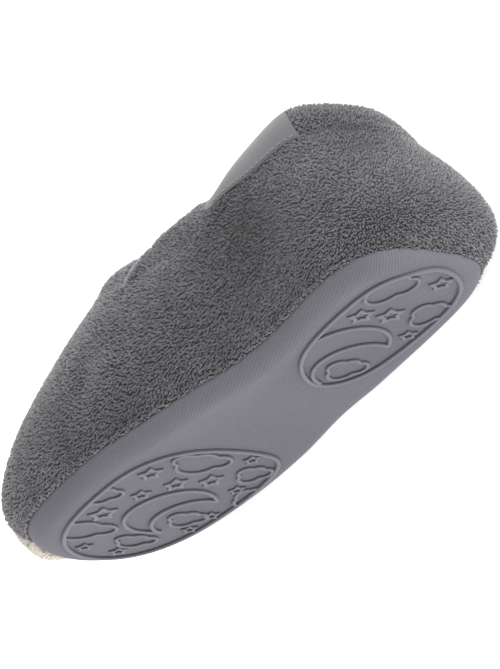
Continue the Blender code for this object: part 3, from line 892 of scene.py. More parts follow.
FOLDS = (
    Fold("throat_notch_inner", ((4.6, 1.0, -1.8), (4.52, 0.95, -2.0), (4.5, 0.9, -2.0), (4.53, 0.86, -1.6),
                                (4.58, 0.82, -0.8)), 1.8),
    Fold("throat_notch_outer", ((11.04, 1.0, -1.8), (11.12, 0.95, -2.0), (11.14, 0.9, -2.0),
                                (11.1, 0.86, -1.6), (11.06, 0.82, -0.8)), 1.8),
    Fold("throat_fold_inner", ((4.5, 0.735, -1.2), (4.47, 0.71, -0.9), (4.3, 0.637, -0.6),
                               (4.04, 0.49, -0.4), (3.85, 0.34, 0.0)), 1.7),
    Fold("throat_fold_outer", ((11.13, 0.735, -1.2), (11.16, 0.71, -0.9), (11.34, 0.62, -0.6),
                               (11.55, 0.49, 0.0)), 1.7),
    Fold("quarter_edge_inner", ((4.3, 0.92, 0.4), (4.3, 0.86, 0.5), (4.4, 0.81, 0.5),
                                (4.44, 0.77, 0.2)), 1.6),
    Fold("quarter_edge_outer", ((11.33, 0.92, 0.4), (11.33, 0.86, 0.5), (11.24, 0.81, 0.5),
                                (11.2, 0.77, 0.2)), 1.6),
    Fold("vamp_lip_inner", ((4.85, 0.95, 0.6), (5.1, 0.92, 1.0), (5.4, 0.9, 1.0), (5.75, 0.885, 1.0),
                            (6.3, 0.89, 0.8), (7.2, 0.92, 0.4)), 6.0),
    Fold("vamp_lip_outer", ((10.85, 0.95, 0.5), (10.6, 0.92, 1.0), (10.3, 0.9, 1.3), (9.9, 0.89, 1.2),
                            (9.4, 0.89, 0.8), (8.8, 0.92, 0.4)), 6.0),
    Fold("quarter_roll", ((3.4, 0.95, 0.3), (3.7, 0.95, 1.0), (4.0, 0.95, 1.2), (4.2, 0.95, 0.4)), 3.5),
    Fold("toe_swell", ((6.6, 0.16, 0.6), (7.0, 0.13, 1.1), (7.6, 0.1, 1.1)), 9.0),
    Fold("vamp_trough", ((4.7, 0.52, 0.0), (4.84, 0.45, -0.8), (4.84, 0.35, -0.9), (4.74, 0.22, 0.0)), 4.0),
    Fold("vamp_swell", ((4.46, 0.46, 0.0), (4.5, 0.38, 0.7), (4.43, 0.3, 0.7), (4.36, 0.2, 0.0)), 4.5),
)


class PaintedShade(NamedTuple):
    """A patch of painted highlight on the loops, or of painted shade where its shade is below zero.

    Its middle is on the upper, by station and share of the way up, and its radius is in mm.
    """

    name: str
    station: float
    share: float
    radius: float
    shade: float


# Painted shade below zero: under the label, at the side's middle, at the heel's top and in the vamp's
# trough. Painted highlight on the vamp's swell and rim.
PAINTED_SHADES = (
    PaintedShade("under_label", 2.55, 0.62, 18.0, -0.9),
    PaintedShade("side_middle", 2.5, 0.33, 14.0, -0.3),
    PaintedShade("heel_top", 0.4, 0.74, 14.0, -0.9),
    PaintedShade("vamp_trough", 4.87, 0.4, 6.0, -0.45),
    PaintedShade("vamp_swell", 4.45, 0.34, 7.0, 0.35),
    PaintedShade("vamp_rim", 5.25, 0.6, 12.0, 0.35),
)


class Cover(Protocol):
    """A piece that is sewn over the plush and hides its loops."""

    def hides(self, u: Array, t: Array) -> Array:
        """Which places of the upper's face lie under the piece."""


@dataclass
class PlushUpper:
    """The plush shell: outer face, rolled lip, inner face and the edge tucked in at the sole."""

    last: Last
    finish: Finish
    columns: int = 400
    face_rows: int = 96
    lip_rows: int = 10
    inner_rows: int = 30
    loop_rows: int = 74
    lip_loop_rows: int = 5
    lip_loop_turn: float = 0.8 * math.pi   # how far the loops go over the lip
    skirt_shares: tuple = (0.0, 0.5)       # rows of loops below the face, on the way up from the seam
    hem_drop: float = 0.3 * MM
    fold_steps: int = 60
    ground: float = 0.1            # the cloth's colour, from 0 for the loops' root to 1 for their tip; near the root's, painted shade under the loops
    tuck: float = 2.0 * MM
    pucker: float = 0.18 * MM
    pucker_pitch: float = 6.5 * MM
    pucker_drift: float = 1.7      # how far the puckers bunch up, in radians, and how often round the seam
    pucker_bunches: int = 5
    pucker_reach: float = 4.0 * MM
    wave: float = 0.22 * MM
    wave_runs: tuple = (8.1, 9.7, 7.4)     # mm along x, y and z that the slow unevenness runs over
    wave_bend: float = 0.6         # how far its crests bend, in radians, and over how many mm up
    wave_bend_run: float = 6.3

    def relief(self, u: Array, t: Array, points: Array) -> Array:
        """How far the plush stands off its smooth face.

        Soft troughs and ridges along the folds, puckers that die away above the sole's seam, and a slow
        unevenness.

        Args:
            u: Parameters of the ribs.
            t: Shares of their way up, one row for each rib.
            points: Points of the smooth face there.

        Returns:
            Heights along the normals, in metres.
        """
        height = np.zeros(t.shape)
        for fold in FOLDS:
            number, share, rise = along_path(fold.path, self.fold_steps)
            line = self.last.face(self.last.at_station(number), share[:, None])[0][:, 0]
            gap = np.full(t.shape, np.inf)
            deep = np.zeros(t.shape)
            for point, amount in zip(line, rise):
                reach = np.sum((points - point) ** 2, axis=-1)
                deep = np.where(reach < gap, amount, deep)
                gap = np.minimum(gap, reach)
            height += deep * MM * np.exp(-gap / (fold.width * MM) ** 2)
        even = self.last.curve.even(FINE_STEPS)
        run = np.interp(u, even, np.arange(FINE_STEPS) / FINE_STEPS)
        count = round(run_along(self.last.curve.at(even)[:, :2])[-1] / self.pucker_pitch)
        above = points[..., 2] - self.last.seam_height
        drift = self.pucker_drift * np.sin(2 * np.pi * self.pucker_bunches * run)
        gather = np.sin(2 * np.pi * count * run + drift)[:, None]
        height += self.pucker * gather * np.exp(-above / self.pucker_reach)
        x, y, z = np.moveaxis(points / MM, -1, 0)
        run_x, run_y, run_z = self.wave_runs
        bend = self.wave_bend * np.sin(z / self.wave_bend_run)
        return height + self.wave * (np.sin(x / run_x + bend) * np.sin(z / run_z + y / run_y))

    def outer_face(self, u: Array, t: Array) -> tuple[Array, Array]:
        """Points and normals of the plush face, with its relief, before it is laid down."""
        points, normals = self.last.face(u, t)
        points = points + normals * self.relief(u, t, points)[..., None]
        return self.last.on_floor_side(points), normals

    def edge(self, u: Array, tuck: float) -> Array:
        """Row of the plush on the sole's top, tucked in from the seam by a length."""
        seam, outward = self.last.seam_and_outward(u)
        return with_height(seam - outward * tuck, self.last.sole_top(seam[:, 0]))[:, None]

    def lip(self, face: Array, normals: Array, turns: Array) -> Array:
        """Rows over the mouth's edge: a half circle as wide as the wall, from the outer face inwards."""
        side = normals[:, -1:]
        climb = unit(face[:, -1:] - face[:, -2:-1])
        half = self.last.wall / 2
        turns = turns[:, None]
        return face[:, -1:] - side * half + half * (side * np.cos(turns) + climb * np.sin(turns))

    def build(self) -> bpy.types.Object:
        """Builds the shell as one closed ring of ribs, each from the tuck up, over the lip and down inside.

        Returns:
            The piece plush_upper.
        """
        last = self.last
        u = last.curve.even(self.columns)
        ribs = np.ones((self.columns, 1))
        face, normals = self.outer_face(u, ribs * np.linspace(0.0, 1.0, self.face_rows))
        edge, tucked = self.edge(u, 0.0), self.edge(u, self.tuck)
        lip = self.lip(face, normals, np.linspace(0.0, np.pi, self.lip_rows + 2)[1:-1])
        inner, inner_normals = last.face(u, ribs * np.linspace(1.0, 0.0, self.inner_rows))
        inner = last.on_floor_side(inner) - inner_normals * last.wall
        rows = np.concatenate([tucked, edge, face, lip, inner], axis=1)
        values = np.zeros(rows.shape[:2])
        # The cloth under the loops takes almost the loops' root colour: painted shade under the loops.
        piece = grid_object("plush_upper", last.lay_down(rows), (True, True), self.finish,
                            attributes={"tip": values + self.ground, "tone": values + MIDDLE_TONE})
        return settle(piece, Slot.PLUSH, "upper")

    def nap(self, points: Array) -> Array:
        """How much painted highlight the loops get at places of the upper, painted shade below zero, as a
        sum of bell curves.
        """
        shade = np.zeros(points.shape[:-1])
        # Adds up the painted shade and highlight patches.
        for patch in PAINTED_SHADES:
            u = self.last.at_station(np.array([patch.station]))
            middle = self.last.face(u, np.array([[patch.share]]))[0]
            reach = np.sum((points - middle) ** 2, axis=-1)
            shade += patch.shade * np.exp(-reach / (patch.radius * MM) ** 2)
        return shade

    def cloth(self, covers: Sequence[Cover]) -> tuple[Array, Array, Array]:
        """The grid that the loops stand on, a row for each row of loops.

        Args:
            covers: Pieces sewn on, under which there are no loops.

        Returns:
            Points in the frame, columns by rows by 3, which of them are bare, and the painted shade and
            highlight there.
        """
        u = self.last.curve.even(self.columns)
        ribs = np.ones((self.columns, 1))
        t = ribs * np.linspace(0.0, 1.0, self.loop_rows)
        face, normals = self.outer_face(u, t)
        edge = self.edge(u, 0.0)
        skirt = edge + (face[:, :1] - edge) * np.array(self.skirt_shares)[:, None]
        skirt[:, 0, 2] -= self.hem_drop
        lip = self.lip(face, normals, np.linspace(0.0, self.lip_loop_turn, self.lip_loop_rows + 1)[1:])
        t = np.concatenate([ribs * np.zeros(skirt.shape[1]), t, ribs * np.ones(self.lip_loop_rows)], axis=1)
        bare = np.zeros(t.shape, bool)
        for cover in covers:
            bare |= cover.hides(u, t)
        points = np.concatenate([skirt, face, lip], axis=1)
        return self.last.lay_down(points), bare, self.nap(points)


# A loop's six foot points and the two of its ridge, as shares of its half length, half width and height.
LOOP_LONG = np.array([1.0, 0.6, -0.6, -1.0, -0.6, 0.6, 0.62, -0.62])
LOOP_WIDE = np.array([0.0, 1.0, 1.0, 0.0, -1.0, -1.0, 0.0, 0.0])
LOOP_RIDGE = np.array([0.0] * 6 + [1.0] * 2)
LOOP_ROOF = np.array([(0, 1, 6), (1, 2, 6), (2, 7, 6), (2, 3, 7),
                      (3, 4, 7), (4, 5, 7), (5, 6, 7), (5, 0, 6)])


@dataclass
class LoopPile:
    """Terry loops over a grid of cloth: short arched roofs in rows, as one joined mesh."""

    name: str
    finish: Finish
    slot: Slot
    room: float = 0.44 * MM * MM      # cloth that each loop stands on
    height: float = 0.78 * MM
    sunk: float = 0.15 * MM
    slant: float = -0.45              # mean angle between a loop and its row, and its spread
    turn: float = 0.55
    lean: float = 0.25
    seed: int = 11
    stagger: tuple = (0.2, 0.8)       # where a loop stands on its share of the row
    spill: tuple = (-0.1, 1.1)        # and between its row and the next
    half_long: tuple = (0.48, 0.7)    # its half length and half width, where its room is 1
    half_wide: tuple = (0.34, 0.44)
    tallness: tuple = (0.7, 1.25)     # its share of the pile's height

    def build(self, cloth: Array, bare: Array, shade: Array, closed: bool) -> bpy.types.Object:
        """Sets loops at equal shares of the cloth's area, row by row.

        Each loop is a six-sided foot with a ridge of two points over it, about one and a half times as long
        as it is wide. It is turned from the row by about the slant and leans down the cloth.

        Args:
            cloth: Points of the cloth, columns by rows of loops.
            bare: Which of them carry no loops.
            shade: The painted shade, or painted highlight above zero, that adds to the loops' tone there.
            closed: Whether the last column joins the first.

        Returns:
            The joined piece.
        """
        rng = np.random.default_rng(self.seed)
        ring = np.concatenate([cloth, cloth[:1]], axis=0) if closed else cloth
        hidden = np.concatenate([bare, bare[:1]], axis=0) if closed else bare
        hidden = hidden[:-1, :-1] & hidden[1:, 1:]
        a, b, c, d = ring[:-1, :-1], ring[1:, :-1], ring[1:, 1:], ring[:-1, 1:]
        area = np.linalg.norm(np.cross(c - a, d - b), axis=-1) / 2
        area = np.where(hidden, 0.0, area).T.ravel()
        total = np.cumsum(area)
        count = int(total[-1] / self.room)
        marks = (np.arange(count) + rng.uniform(*self.stagger, count)) * total[-1] / count
        cell = np.minimum(np.searchsorted(total, marks), len(total) - 1)
        row, column = np.divmod(cell, ring.shape[0] - 1)
        f = ((marks - total[cell] + area[cell]) / area[cell])[:, None]
        g = rng.uniform(*self.spill, count)[:, None]
        a, b, c, d = (part[column, row] for part in (a, b, c, d))
        feet = (a * (1 - f) + b * f) * (1 - g) + (d * (1 - f) + c * f) * g
        rowwise, upward = unit(b - a + c - d), unit(d - a + c - b)
        normal = unit(np.cross(upward, rowwise))
        angle = rng.normal(self.slant, self.turn, count)[:, None]
        length = unit(rowwise * np.cos(angle) + upward * np.sin(angle))
        width = np.cross(normal, length)
        half_long = math.sqrt(self.room) * rng.uniform(*self.half_long, count)
        half_wide = math.sqrt(self.room) * rng.uniform(*self.half_wide, count)
        tall = self.height * rng.uniform(*self.tallness, count)
        lift = LOOP_RIDGE * (tall[:, None] + self.sunk) - self.sunk
        points = (feet[:, None] + length[:, None] * (half_long[:, None] * LOOP_LONG)[..., None]
                  + width[:, None] * (half_wide[:, None] * LOOP_WIDE)[..., None]
                  + normal[:, None] * lift[..., None]
                  - upward[:, None] * (self.lean * tall[:, None] * LOOP_RIDGE)[..., None])
        points[..., 2] = np.maximum(points[..., 2], 0.0)
        faces = (np.arange(count)[:, None, None] * len(LOOP_RIDGE) + LOOP_ROOF).reshape(-1, 3)
        # Each loop's tone: random, plus the painted shade and highlight patches.
        tone = np.repeat(rng.random(count) + shade[column, row], len(LOOP_RIDGE))
        piece = surface_object(self.name, points, faces, self.finish,
                               attributes={"tip": np.tile(LOOP_RIDGE, count), "tone": tone})
        return settle(piece, self.slot)


class Binding(NamedTuple):
    """Where the lining's turned edge shows at a corner of the throat, as (station, share of the way up)."""

    name: str
    path: tuple


BINDINGS = (
    Binding("inner", ((4.5, 1.0), (4.46, 0.965), (4.41, 0.925), (4.37, 0.892), (4.37, 0.868), (4.4, 0.847),
                      (4.46, 0.821), (4.51, 0.792), (4.5, 0.762))),
    Binding("outer", ((11.14, 1.0), (11.18, 0.965), (11.22, 0.925), (11.26, 0.892), (11.26, 0.868),
                      (11.23, 0.847), (11.17, 0.821), (11.13, 0.792), (11.14, 0.762))),
)


@dataclass
class ThroatBinding:
    """The lining's edge that is turned out over the quarter at both corners of the throat."""

    upper: PlushUpper
    finish: Finish
    steps: int = 40
    sides: int = 10
    smoothing: int = 4
    half_width: float = 0.7 * MM
    half_height: float = 0.5 * MM
    end_power: int = 6                # how abruptly the edge narrows at its ends
    lift: float = 0.5 * MM
    bare_width: float = 1.0 * MM

    def line(self, binding: Binding) -> tuple[Array, Array]:
        """Points of an edge on the plush, and the plush's normals there."""
        number, share = along_path(binding.path, self.steps)
        face, normals = self.upper.outer_face(self.upper.last.at_station(number), share[:, None])
        line = face[:, 0]
        for _ in range(self.smoothing):
            line[1:-1] = (line[:-2] + 2 * line[1:-1] + line[2:]) / 4
        return line, normals[:, 0]

    def hides(self, u: Array, t: Array) -> Array:
        """Which places of the upper's face lie under the edges."""
        face = self.upper.last.face(u, t)[0]
        hidden = np.zeros(t.shape, bool)
        for binding in BINDINGS:
            for point in self.line(binding)[0]:
                hidden |= np.sum((face - point) ** 2, axis=-1) < self.bare_width ** 2
        return hidden

    def cord(self, binding: Binding) -> Array:
        """A flat cord: an ellipse carried along an edge on the plush, down to points at its ends."""
        line, normals = self.line(binding)
        line = line + normals * self.lift
        side = unit(np.cross(normals, unit(np.gradient(line, axis=0))))
        ends = np.linspace(-1.0, 1.0, self.steps) ** self.end_power
        size = np.sqrt(np.maximum(1.0 - ends, 0.0))[:, None, None]
        turn = np.linspace(0.0, 2 * np.pi, self.sides, endpoint=False)[:, None]
        ring = (side[:, None] * self.half_width * np.cos(turn)
                + normals[:, None] * self.half_height * np.sin(turn))
        return self.upper.last.lay_down(line[:, None] + ring * size)

    def build(self) -> bpy.types.Object:
        """Builds both edges as one piece.

        Returns:
            The piece throat_binding.
        """
        points, faces = joined([(self.cord(binding), False) for binding in BINDINGS])
        piece = surface_object("throat_binding", points, faces, self.finish, weld=True)
        return settle(piece, Slot.FOOTBED)


@dataclass
class Lining:
    """The lining inside the upper, from below the lip to the footbed: a thin cloth with two faces."""

    last: Last
    finish: Finish
    columns: int = 220
    rows: int = 46
    start: float = 2.5 * MM
    gap: float = 0.1 * MM
    thickness: float = 0.35 * MM
    hem_inset: float = 3.7 * MM      # just outside the footbed's edge
    hem_height: float = 0.4 * MM
    hem_rows: int = 6

    def hem(self, u: Array, wall: Array, inset: float) -> Array:
        """Rows that carry a face of the cloth from its lowest row down beside the footbed."""
        seam, outward = self.last.seam_and_outward(u)
        plan = seam - outward * inset
        foot = with_height(plan, self.last.sole_top(plan[:, 0]) + self.hem_height)
        shares = np.linspace(0.0, 1.0, self.hem_rows + 1)[1:, None]
        return wall[:, -1:] + (foot[:, None] - wall[:, -1:]) * shares

    def build(self) -> bpy.types.Object:
        """Builds the cloth at a wall's thickness inside the upper's face, and its hem beside the footbed.

        Returns:
            The piece lining.
        """
        last = self.last
        u = last.curve.even(self.columns)
        t = last.share(u, np.array([self.start])) * np.linspace(1.0, 0.0, self.rows)
        face, normals = last.face(u, t)
        face = last.on_floor_side(face)
        hidden = face - normals * (last.wall + self.gap)
        shown = face - normals * (last.wall + self.gap + self.thickness)
        hidden = np.concatenate([hidden, self.hem(u, hidden, self.hem_inset - self.thickness)], axis=1)
        shown = np.concatenate([shown, self.hem(u, shown, self.hem_inset)], axis=1)
        placed = last.lay_down(np.concatenate([hidden, shown[:, ::-1]], axis=1))
        piece = grid_object("lining", placed, (True, True), self.finish)
        return settle(piece, Slot.FOOTBED)


@dataclass
class Footbed:
    """The padded footbed: a plate with a rounded edge, a little dished under the foot."""

    last: Last
    finish: Finish
    columns: int = 260
    under_shares: tuple = (0.0, 0.5, 1.0)   # rings of the underside, from the middle to the edge
    edge_rows: int = 6
    top_rows: int = 22
    top_start: float = 0.98
    inset: float = 3.8 * MM
    thickness: float = 2.5 * MM
    edge_radius: float = 1.2 * MM
    dish: float = 0.7 * MM
    dish_power: int = 4

    def build(self) -> bpy.types.Object:
        """Builds rings from the middle of the underside, round the edge and back to the middle on top.

        Returns:
            The piece footbed.
        """
        last, radius = self.last, self.edge_radius
        seam, outward = last.seam_and_outward(last.curve.even(self.columns))
        angle = np.linspace(0.0, np.pi / 2, self.edge_rows)
        under = np.zeros(len(self.under_shares))
        inner = np.linspace(self.top_start, 0.0, self.top_rows)
        shares = np.concatenate([self.under_shares, np.ones(self.edge_rows), inner])
        inward = np.concatenate([under, radius * (1 - np.cos(angle)), np.full(self.top_rows, radius)])
        lift = np.concatenate([under, self.thickness - radius + radius * np.sin(angle),
                               self.thickness - self.dish * (1.0 - inner ** self.dish_power)])
        edge = (seam - outward * self.inset)[:, None] - outward[:, None] * inward[:, None]
        plan = last.rings(edge, shares)
        placed = last.lay_down(with_height(plan, last.sole_top(plan[..., 0]) + lift))
        piece = grid_object("footbed", placed, (True, False), self.finish, weld=True)
        return settle(piece, Slot.FOOTBED, "insole")


@dataclass
class KnitSole:
    """The foam sole under its knit: flat underside, rolled edge up to the seam and a closed top."""

    last: Last
    finish: Finish
    columns: int = 520
    flat_rows: int = 40
    roll_rows: int = 14
    top_shares: tuple = (0.96, 0.5, 0.0)    # rings of the top, from the seam to the middle
    margin_width: float = 14.0 * MM
    rib_end: float = 140.0 * MM             # the ribs show from the heel to here
    rib_fade: float = 50.0 * MM
    rib_least: float = 0.2

    def build(self) -> bpy.types.Object:
        """Builds rings from the middle of the underside, round the roll and back to the middle on top.

        Returns:
            The piece knit_sole.
        """
        last = self.last
        u = last.curve.even(self.columns)
        flat = last.roll_ring(u, 0.0)[:, :2]
        plan = last.rings(flat[:, None], np.linspace(0.0, 1.0, self.flat_rows))
        under = with_height(plan, last.sole_rise(plan[..., 0]))
        angles = np.linspace(0.0, last.roll_end(), self.roll_rows)[1:]
        roll = np.stack([last.roll_ring(u, angle) for angle in angles], axis=1)
        seam, outward = last.seam_and_outward(u)
        top_plan = last.rings(seam[:, None], np.array(self.top_shares))
        top = with_height(top_plan, last.seam_height - last.clearance + last.sole_rise(top_plan[..., 0]))
        placed = last.lay_down(np.concatenate([under, roll, top], axis=1))
        inside = np.linalg.norm(plan - flat[:, None], axis=-1)
        margin = np.ones(placed.shape[:2])
        margin[:, :self.flat_rows] = np.clip(1.0 - inside / self.margin_width, 0.0, 1.0)
        margin *= np.clip((self.rib_end - flat[:, 0]) / self.rib_fade, self.rib_least, 1.0)[:, None]
        unrolled = flat[:, None] + outward[:, None] * last.sole_roll * angles[:, None]
        level = np.zeros(placed.shape[:2])
        knit = with_height(np.concatenate([plan, unrolled, top_plan], axis=1), level)
        piece = grid_object("knit_sole", placed, (True, False), self.finish, weld=True,
                            attributes={"margin": margin, "foot": level, "knit": knit})
        return settle(piece, Slot.KNIT_FOAM, "outsole")


class Bump(NamedTuple):
    """A circle of a cloud's outline, as shares of the cloud's size, with x towards the toe."""

    x: float
    y: float
    radius: float


CLOUD_BUMPS = (
    Bump(0.08, 0.02, 0.34),
    Bump(-0.1, 0.3, 0.22),
    Bump(-0.12, -0.28, 0.24),
    Bump(-0.16, 0.02, 0.25),
)


@dataclass
class Tread:
    """The raised lines of both pads, moulded on the sole: rims, crescents, clouds and stars."""

    last: Last
    finish: Finish
    step: float = 0.45 * MM
    least_points: int = 8
    sides: int = 15
    root: float = 0.35             # angle that a cord's root goes on under the sole
    squareness: float = 0.62       # power of a section's sine and cosine: 1 is half round, less is flatter
    cap_rows: int = 4
    climb: float = 0.9             # share of the roll's radius up to which the sole's height is followed
    seam_points: int = 700
    rim_points: int = 500
    arc_points: int = 60
    star_points: int = 5
    star_waist: float = 0.55
    star_steps: int = 100
    star_rounding: int = 2
    star_hollow: float = 0.44
    cloud_fine: int = 220
    cloud_rounding: int = 2
    mitre_limit: float = 2.2
    mitre_least: float = 0.05      # of 1 plus the cosine of a corner, so that none divides by zero

    def section(self) -> tuple[Array, Array]:
        """A cord's section: places across it from 1 to -1 and heights from a little under the sole up to 1.

        Both are powers of an angle's cosine and sine that keep their signs, so the sides are steep and the
        top is flat.

        Returns:
            Places and heights.
        """
        angle = np.linspace(-self.root, np.pi + self.root, self.sides)
        across, up = np.cos(angle), np.sin(angle)
        across = np.sign(across) * np.abs(across) ** self.squareness
        return across, np.sign(up) * np.abs(up) ** self.squareness

    def ground(self, plan: Array) -> Array:
        """Height of the sole's underside at points of its plan, on the flat and up the rolled edge.

        A point that lies inside the seam by d is past the flat by e, the roll's width less d, and the circle
        of the roll, of radius r, has risen there by r less the root of r squared less e squared.

        Args:
            plan: Points, columns by rows by 2.

        Returns:
            Heights, columns by rows.
        """
        last = self.last
        seam = last.curve.at(last.curve.even(self.seam_points))[:, :2]
        middle = plan[:, plan.shape[1] // 2]
        inside = np.sqrt(np.min(np.sum((middle[:, None] - seam) ** 2, axis=-1), axis=1))
        past = np.clip(last.sole_roll * math.sin(last.roll_end()) - inside, 0.0, self.climb * last.sole_roll)
        rolled = last.sole_roll - np.sqrt(last.sole_roll ** 2 - past ** 2)
        return last.sole_rise(plan[..., 0]) + rolled[:, None]

    def cord_grid(self, loops: Array, ridge: Ridge, shrink: Array) -> Array:
        """Points of a cord from its middle line and the sideways direction at each point of it.

        The section is carried along the line, its size times the shrink at each point.

        Args:
            loops: Middle points and sideways vectors, points by 2 by 2.
            ridge: The cord's width and height.
            shrink: Share of the section's size at each point, for rounded ends.

        Returns:
            Points on the last, points by sides by 3.
        """
        across, up = self.section()
        sideways = ridge.width * MM / 2 * across * shrink[:, None]
        down = ridge.height * MM * up * shrink[:, None]
        plan = loops[:, 0][:, None] + loops[:, 1][:, None] * sideways[..., None]
        return with_height(plan, self.ground(plan) - down)

    def sideways(self, path: Array, closed: bool) -> Array:
        """Sideways vectors of a path, longer at corners so that a cord keeps its width there."""
        ahead, behind = np.roll(path, -1, axis=0), np.roll(path, 1, axis=0)
        if not closed:
            ahead[-1] = 2 * path[-1] - path[-2]
            behind[0] = 2 * path[0] - path[1]
        come, go = unit(path - behind), unit(ahead - path)
        normals = np.stack([-come[:, 1] - go[:, 1], come[:, 0] + go[:, 0]], axis=1)
        mitre = normals / np.maximum(1.0 + np.sum(come * go, axis=1, keepdims=True), self.mitre_least)
        length = np.linalg.norm(mitre, axis=1, keepdims=True)
        return mitre * np.minimum(1.0, self.mitre_limit / length)

    def resample(self, path: Array, closed: bool) -> Array:
        """A path with points at even steps."""
        line = np.vstack([path, path[:1]]) if closed else path
        run = run_along(line)
        count = max(self.least_points, round(run[-1] / self.step))
        marks = np.arange(count) * run[-1] / count if closed else np.linspace(0.0, run[-1], count)
        return between(marks, run, line)

    def swept(self, path: Array, closed: bool, ridge: Ridge) -> Array:
        """Cord along a smooth path, with round ends where the path is open."""
        path = self.resample(path, closed)
        loops = np.stack([path, self.sideways(path, closed)], axis=1)
        if closed:
            return self.cord_grid(loops, ridge, np.ones(len(path)))
        turn = np.linspace(0.0, np.pi / 2, self.cap_rows + 1)[1:]
        reach = ridge.width * MM / 2 * np.sin(turn)
        first, last = unit(path[0] - path[1]), unit(path[-1] - path[-2])
        caps = (self.cap_rows, 1)
        head = np.stack([path[0] + first * reach[::-1, None], np.tile(loops[0, 1], caps)], axis=1)
        tail = np.stack([path[-1] + last * reach[:, None], np.tile(loops[-1, 1], caps)], axis=1)
        shrink = np.concatenate([np.cos(turn)[::-1], np.ones(len(path)), np.cos(turn)])
        return self.cord_grid(np.concatenate([head, loops, tail]), ridge, shrink)

    def star(self, spark: Spark) -> Array:
        """Raised band between two similar stars, with one point to the toe.

        In a direction at an angle q from the nearest point, a star with its points at R and its valleys at
        W, half a turn of the points h apart, reaches R W sin h / (R sin q + W sin(h - q)).

        Args:
            spark: The star's place and size.

        Returns:
            Points on the last, directions by sides by 3.
        """
        turn = np.linspace(0.0, 2 * np.pi, self.star_steps, endpoint=False)
        half = np.pi / self.star_points
        q = np.abs(np.mod(turn + half, 2 * half) - half)
        waist = self.star_waist
        reach = spark.radius * MM * waist * np.sin(half) / (np.sin(q) + waist * np.sin(half - q))
        reach = smoothed(reach, self.star_rounding)
        across, up = self.section()
        share = (1 + self.star_hollow) / 2 + (1 - self.star_hollow) / 2 * across
        ray = np.column_stack([np.cos(turn), np.sin(turn)])
        plan = np.array([spark.x, spark.y]) * MM + ray[:, None] * (reach[:, None] * share)[..., None]
        return with_height(plan, self.ground(plan) - STAR.height * MM * up)

    def cloud_outline(self, puff: Puff) -> Array:
        """Outline of joined circles: in each direction from the middle, the farthest that any reaches."""
        turn = np.linspace(0.0, 2 * np.pi, self.cloud_fine, endpoint=False)
        ray = np.column_stack([np.cos(turn), np.sin(turn)])
        middles = np.array([(bump.x, bump.y) for bump in CLOUD_BUMPS])
        radii = np.array([bump.radius for bump in CLOUD_BUMPS])
        ahead = ray @ middles.T
        aside = ray[:, :1] * middles[:, 1] - ray[:, 1:] * middles[:, 0]
        beyond = np.sqrt(np.maximum(radii ** 2 - aside ** 2, 0.0))
        reach = np.where(np.abs(aside) < radii, ahead + beyond, 0.0)
        outline = smoothed(ray * reach.max(axis=1)[:, None], self.cloud_rounding)
        low, high = outline.min(axis=0), outline.max(axis=0)
        outline = (outline - (low + high) / 2) / (high - low)
        return (outline * np.array([puff.along, puff.across]) + np.array([puff.x, puff.y])) * MM

    def inside(self, outline: Array, points: Array) -> Array:
        """Which points lie inside a closed outline, by the edges that a line to the right crosses."""
        x, y = points[:, 0:1], points[:, 1:2]
        x0, y0 = outline[:, 0], outline[:, 1]
        x1, y1 = np.roll(x0, -1), np.roll(y0, -1)
        spans = (y0 > y) != (y1 > y)
        with np.errstate(divide="ignore", invalid="ignore"):
            crossing = x0 + (y - y0) * (x1 - x0) / (y1 - y0)
        return np.sum(spans & (x < crossing), axis=1) % 2 == 1

    def cloud(self, rim: Array, puff: Puff) -> tuple[Array, bool]:
        """Cord round a cloud, cut where it leaves the pad's rim, and whether it is still closed."""
        outline = self.cloud_outline(puff)
        kept = self.inside(rim, outline)
        if kept.all():
            return self.swept(outline, True, CLOUD), True
        first = int(np.argmax(kept & ~np.roll(kept, 1)))
        run = np.roll(outline, -first, axis=0)[:int(kept.sum())]
        return self.swept(run, False, CLOUD), False

    def cords(self) -> list[tuple[Array, bool]]:
        """Every cord of both pads as a grid on the last, and whether it is closed."""
        made = []
        for pad in PADS:
            spline = ClosedSpline(pad.rim)
            rim = spline.at(spline.even(self.rim_points))
            made.append((self.swept(rim, True, RIM), True))
            for arc in pad.moon:
                turn = np.radians(np.linspace(arc.start, arc.end, self.arc_points))
                ray = np.column_stack([np.cos(turn), np.sin(turn)])
                path = np.array([arc.x, arc.y]) + arc.radius * ray
                made.append((self.swept(path * MM, False, MOON), False))
            made.extend(self.cloud(rim, puff) for puff in pad.clouds)
            made.extend((self.star(spark), True) for spark in pad.stars)
        return made

    def build(self) -> bpy.types.Object:
        """Builds all the cords as one joined mesh.

        Returns:
            The piece tread_lines.
        """
        points, faces = joined([(self.last.lay_down(grid), closed) for grid, closed in self.cords()])
        # foot is 1 at the cords' roots and 0 on their tops: the mask of the painted shade at the lines'
        # feet.
        foot = np.tile(1.0 - np.clip(self.section()[1], 0.0, 1.0), len(points) // self.sides)
        piece = surface_object("tread_lines", points, faces, self.finish,
                               attributes={"margin": np.zeros(len(points)), "foot": foot})
        return settle(piece, Slot.KNIT_FOAM)


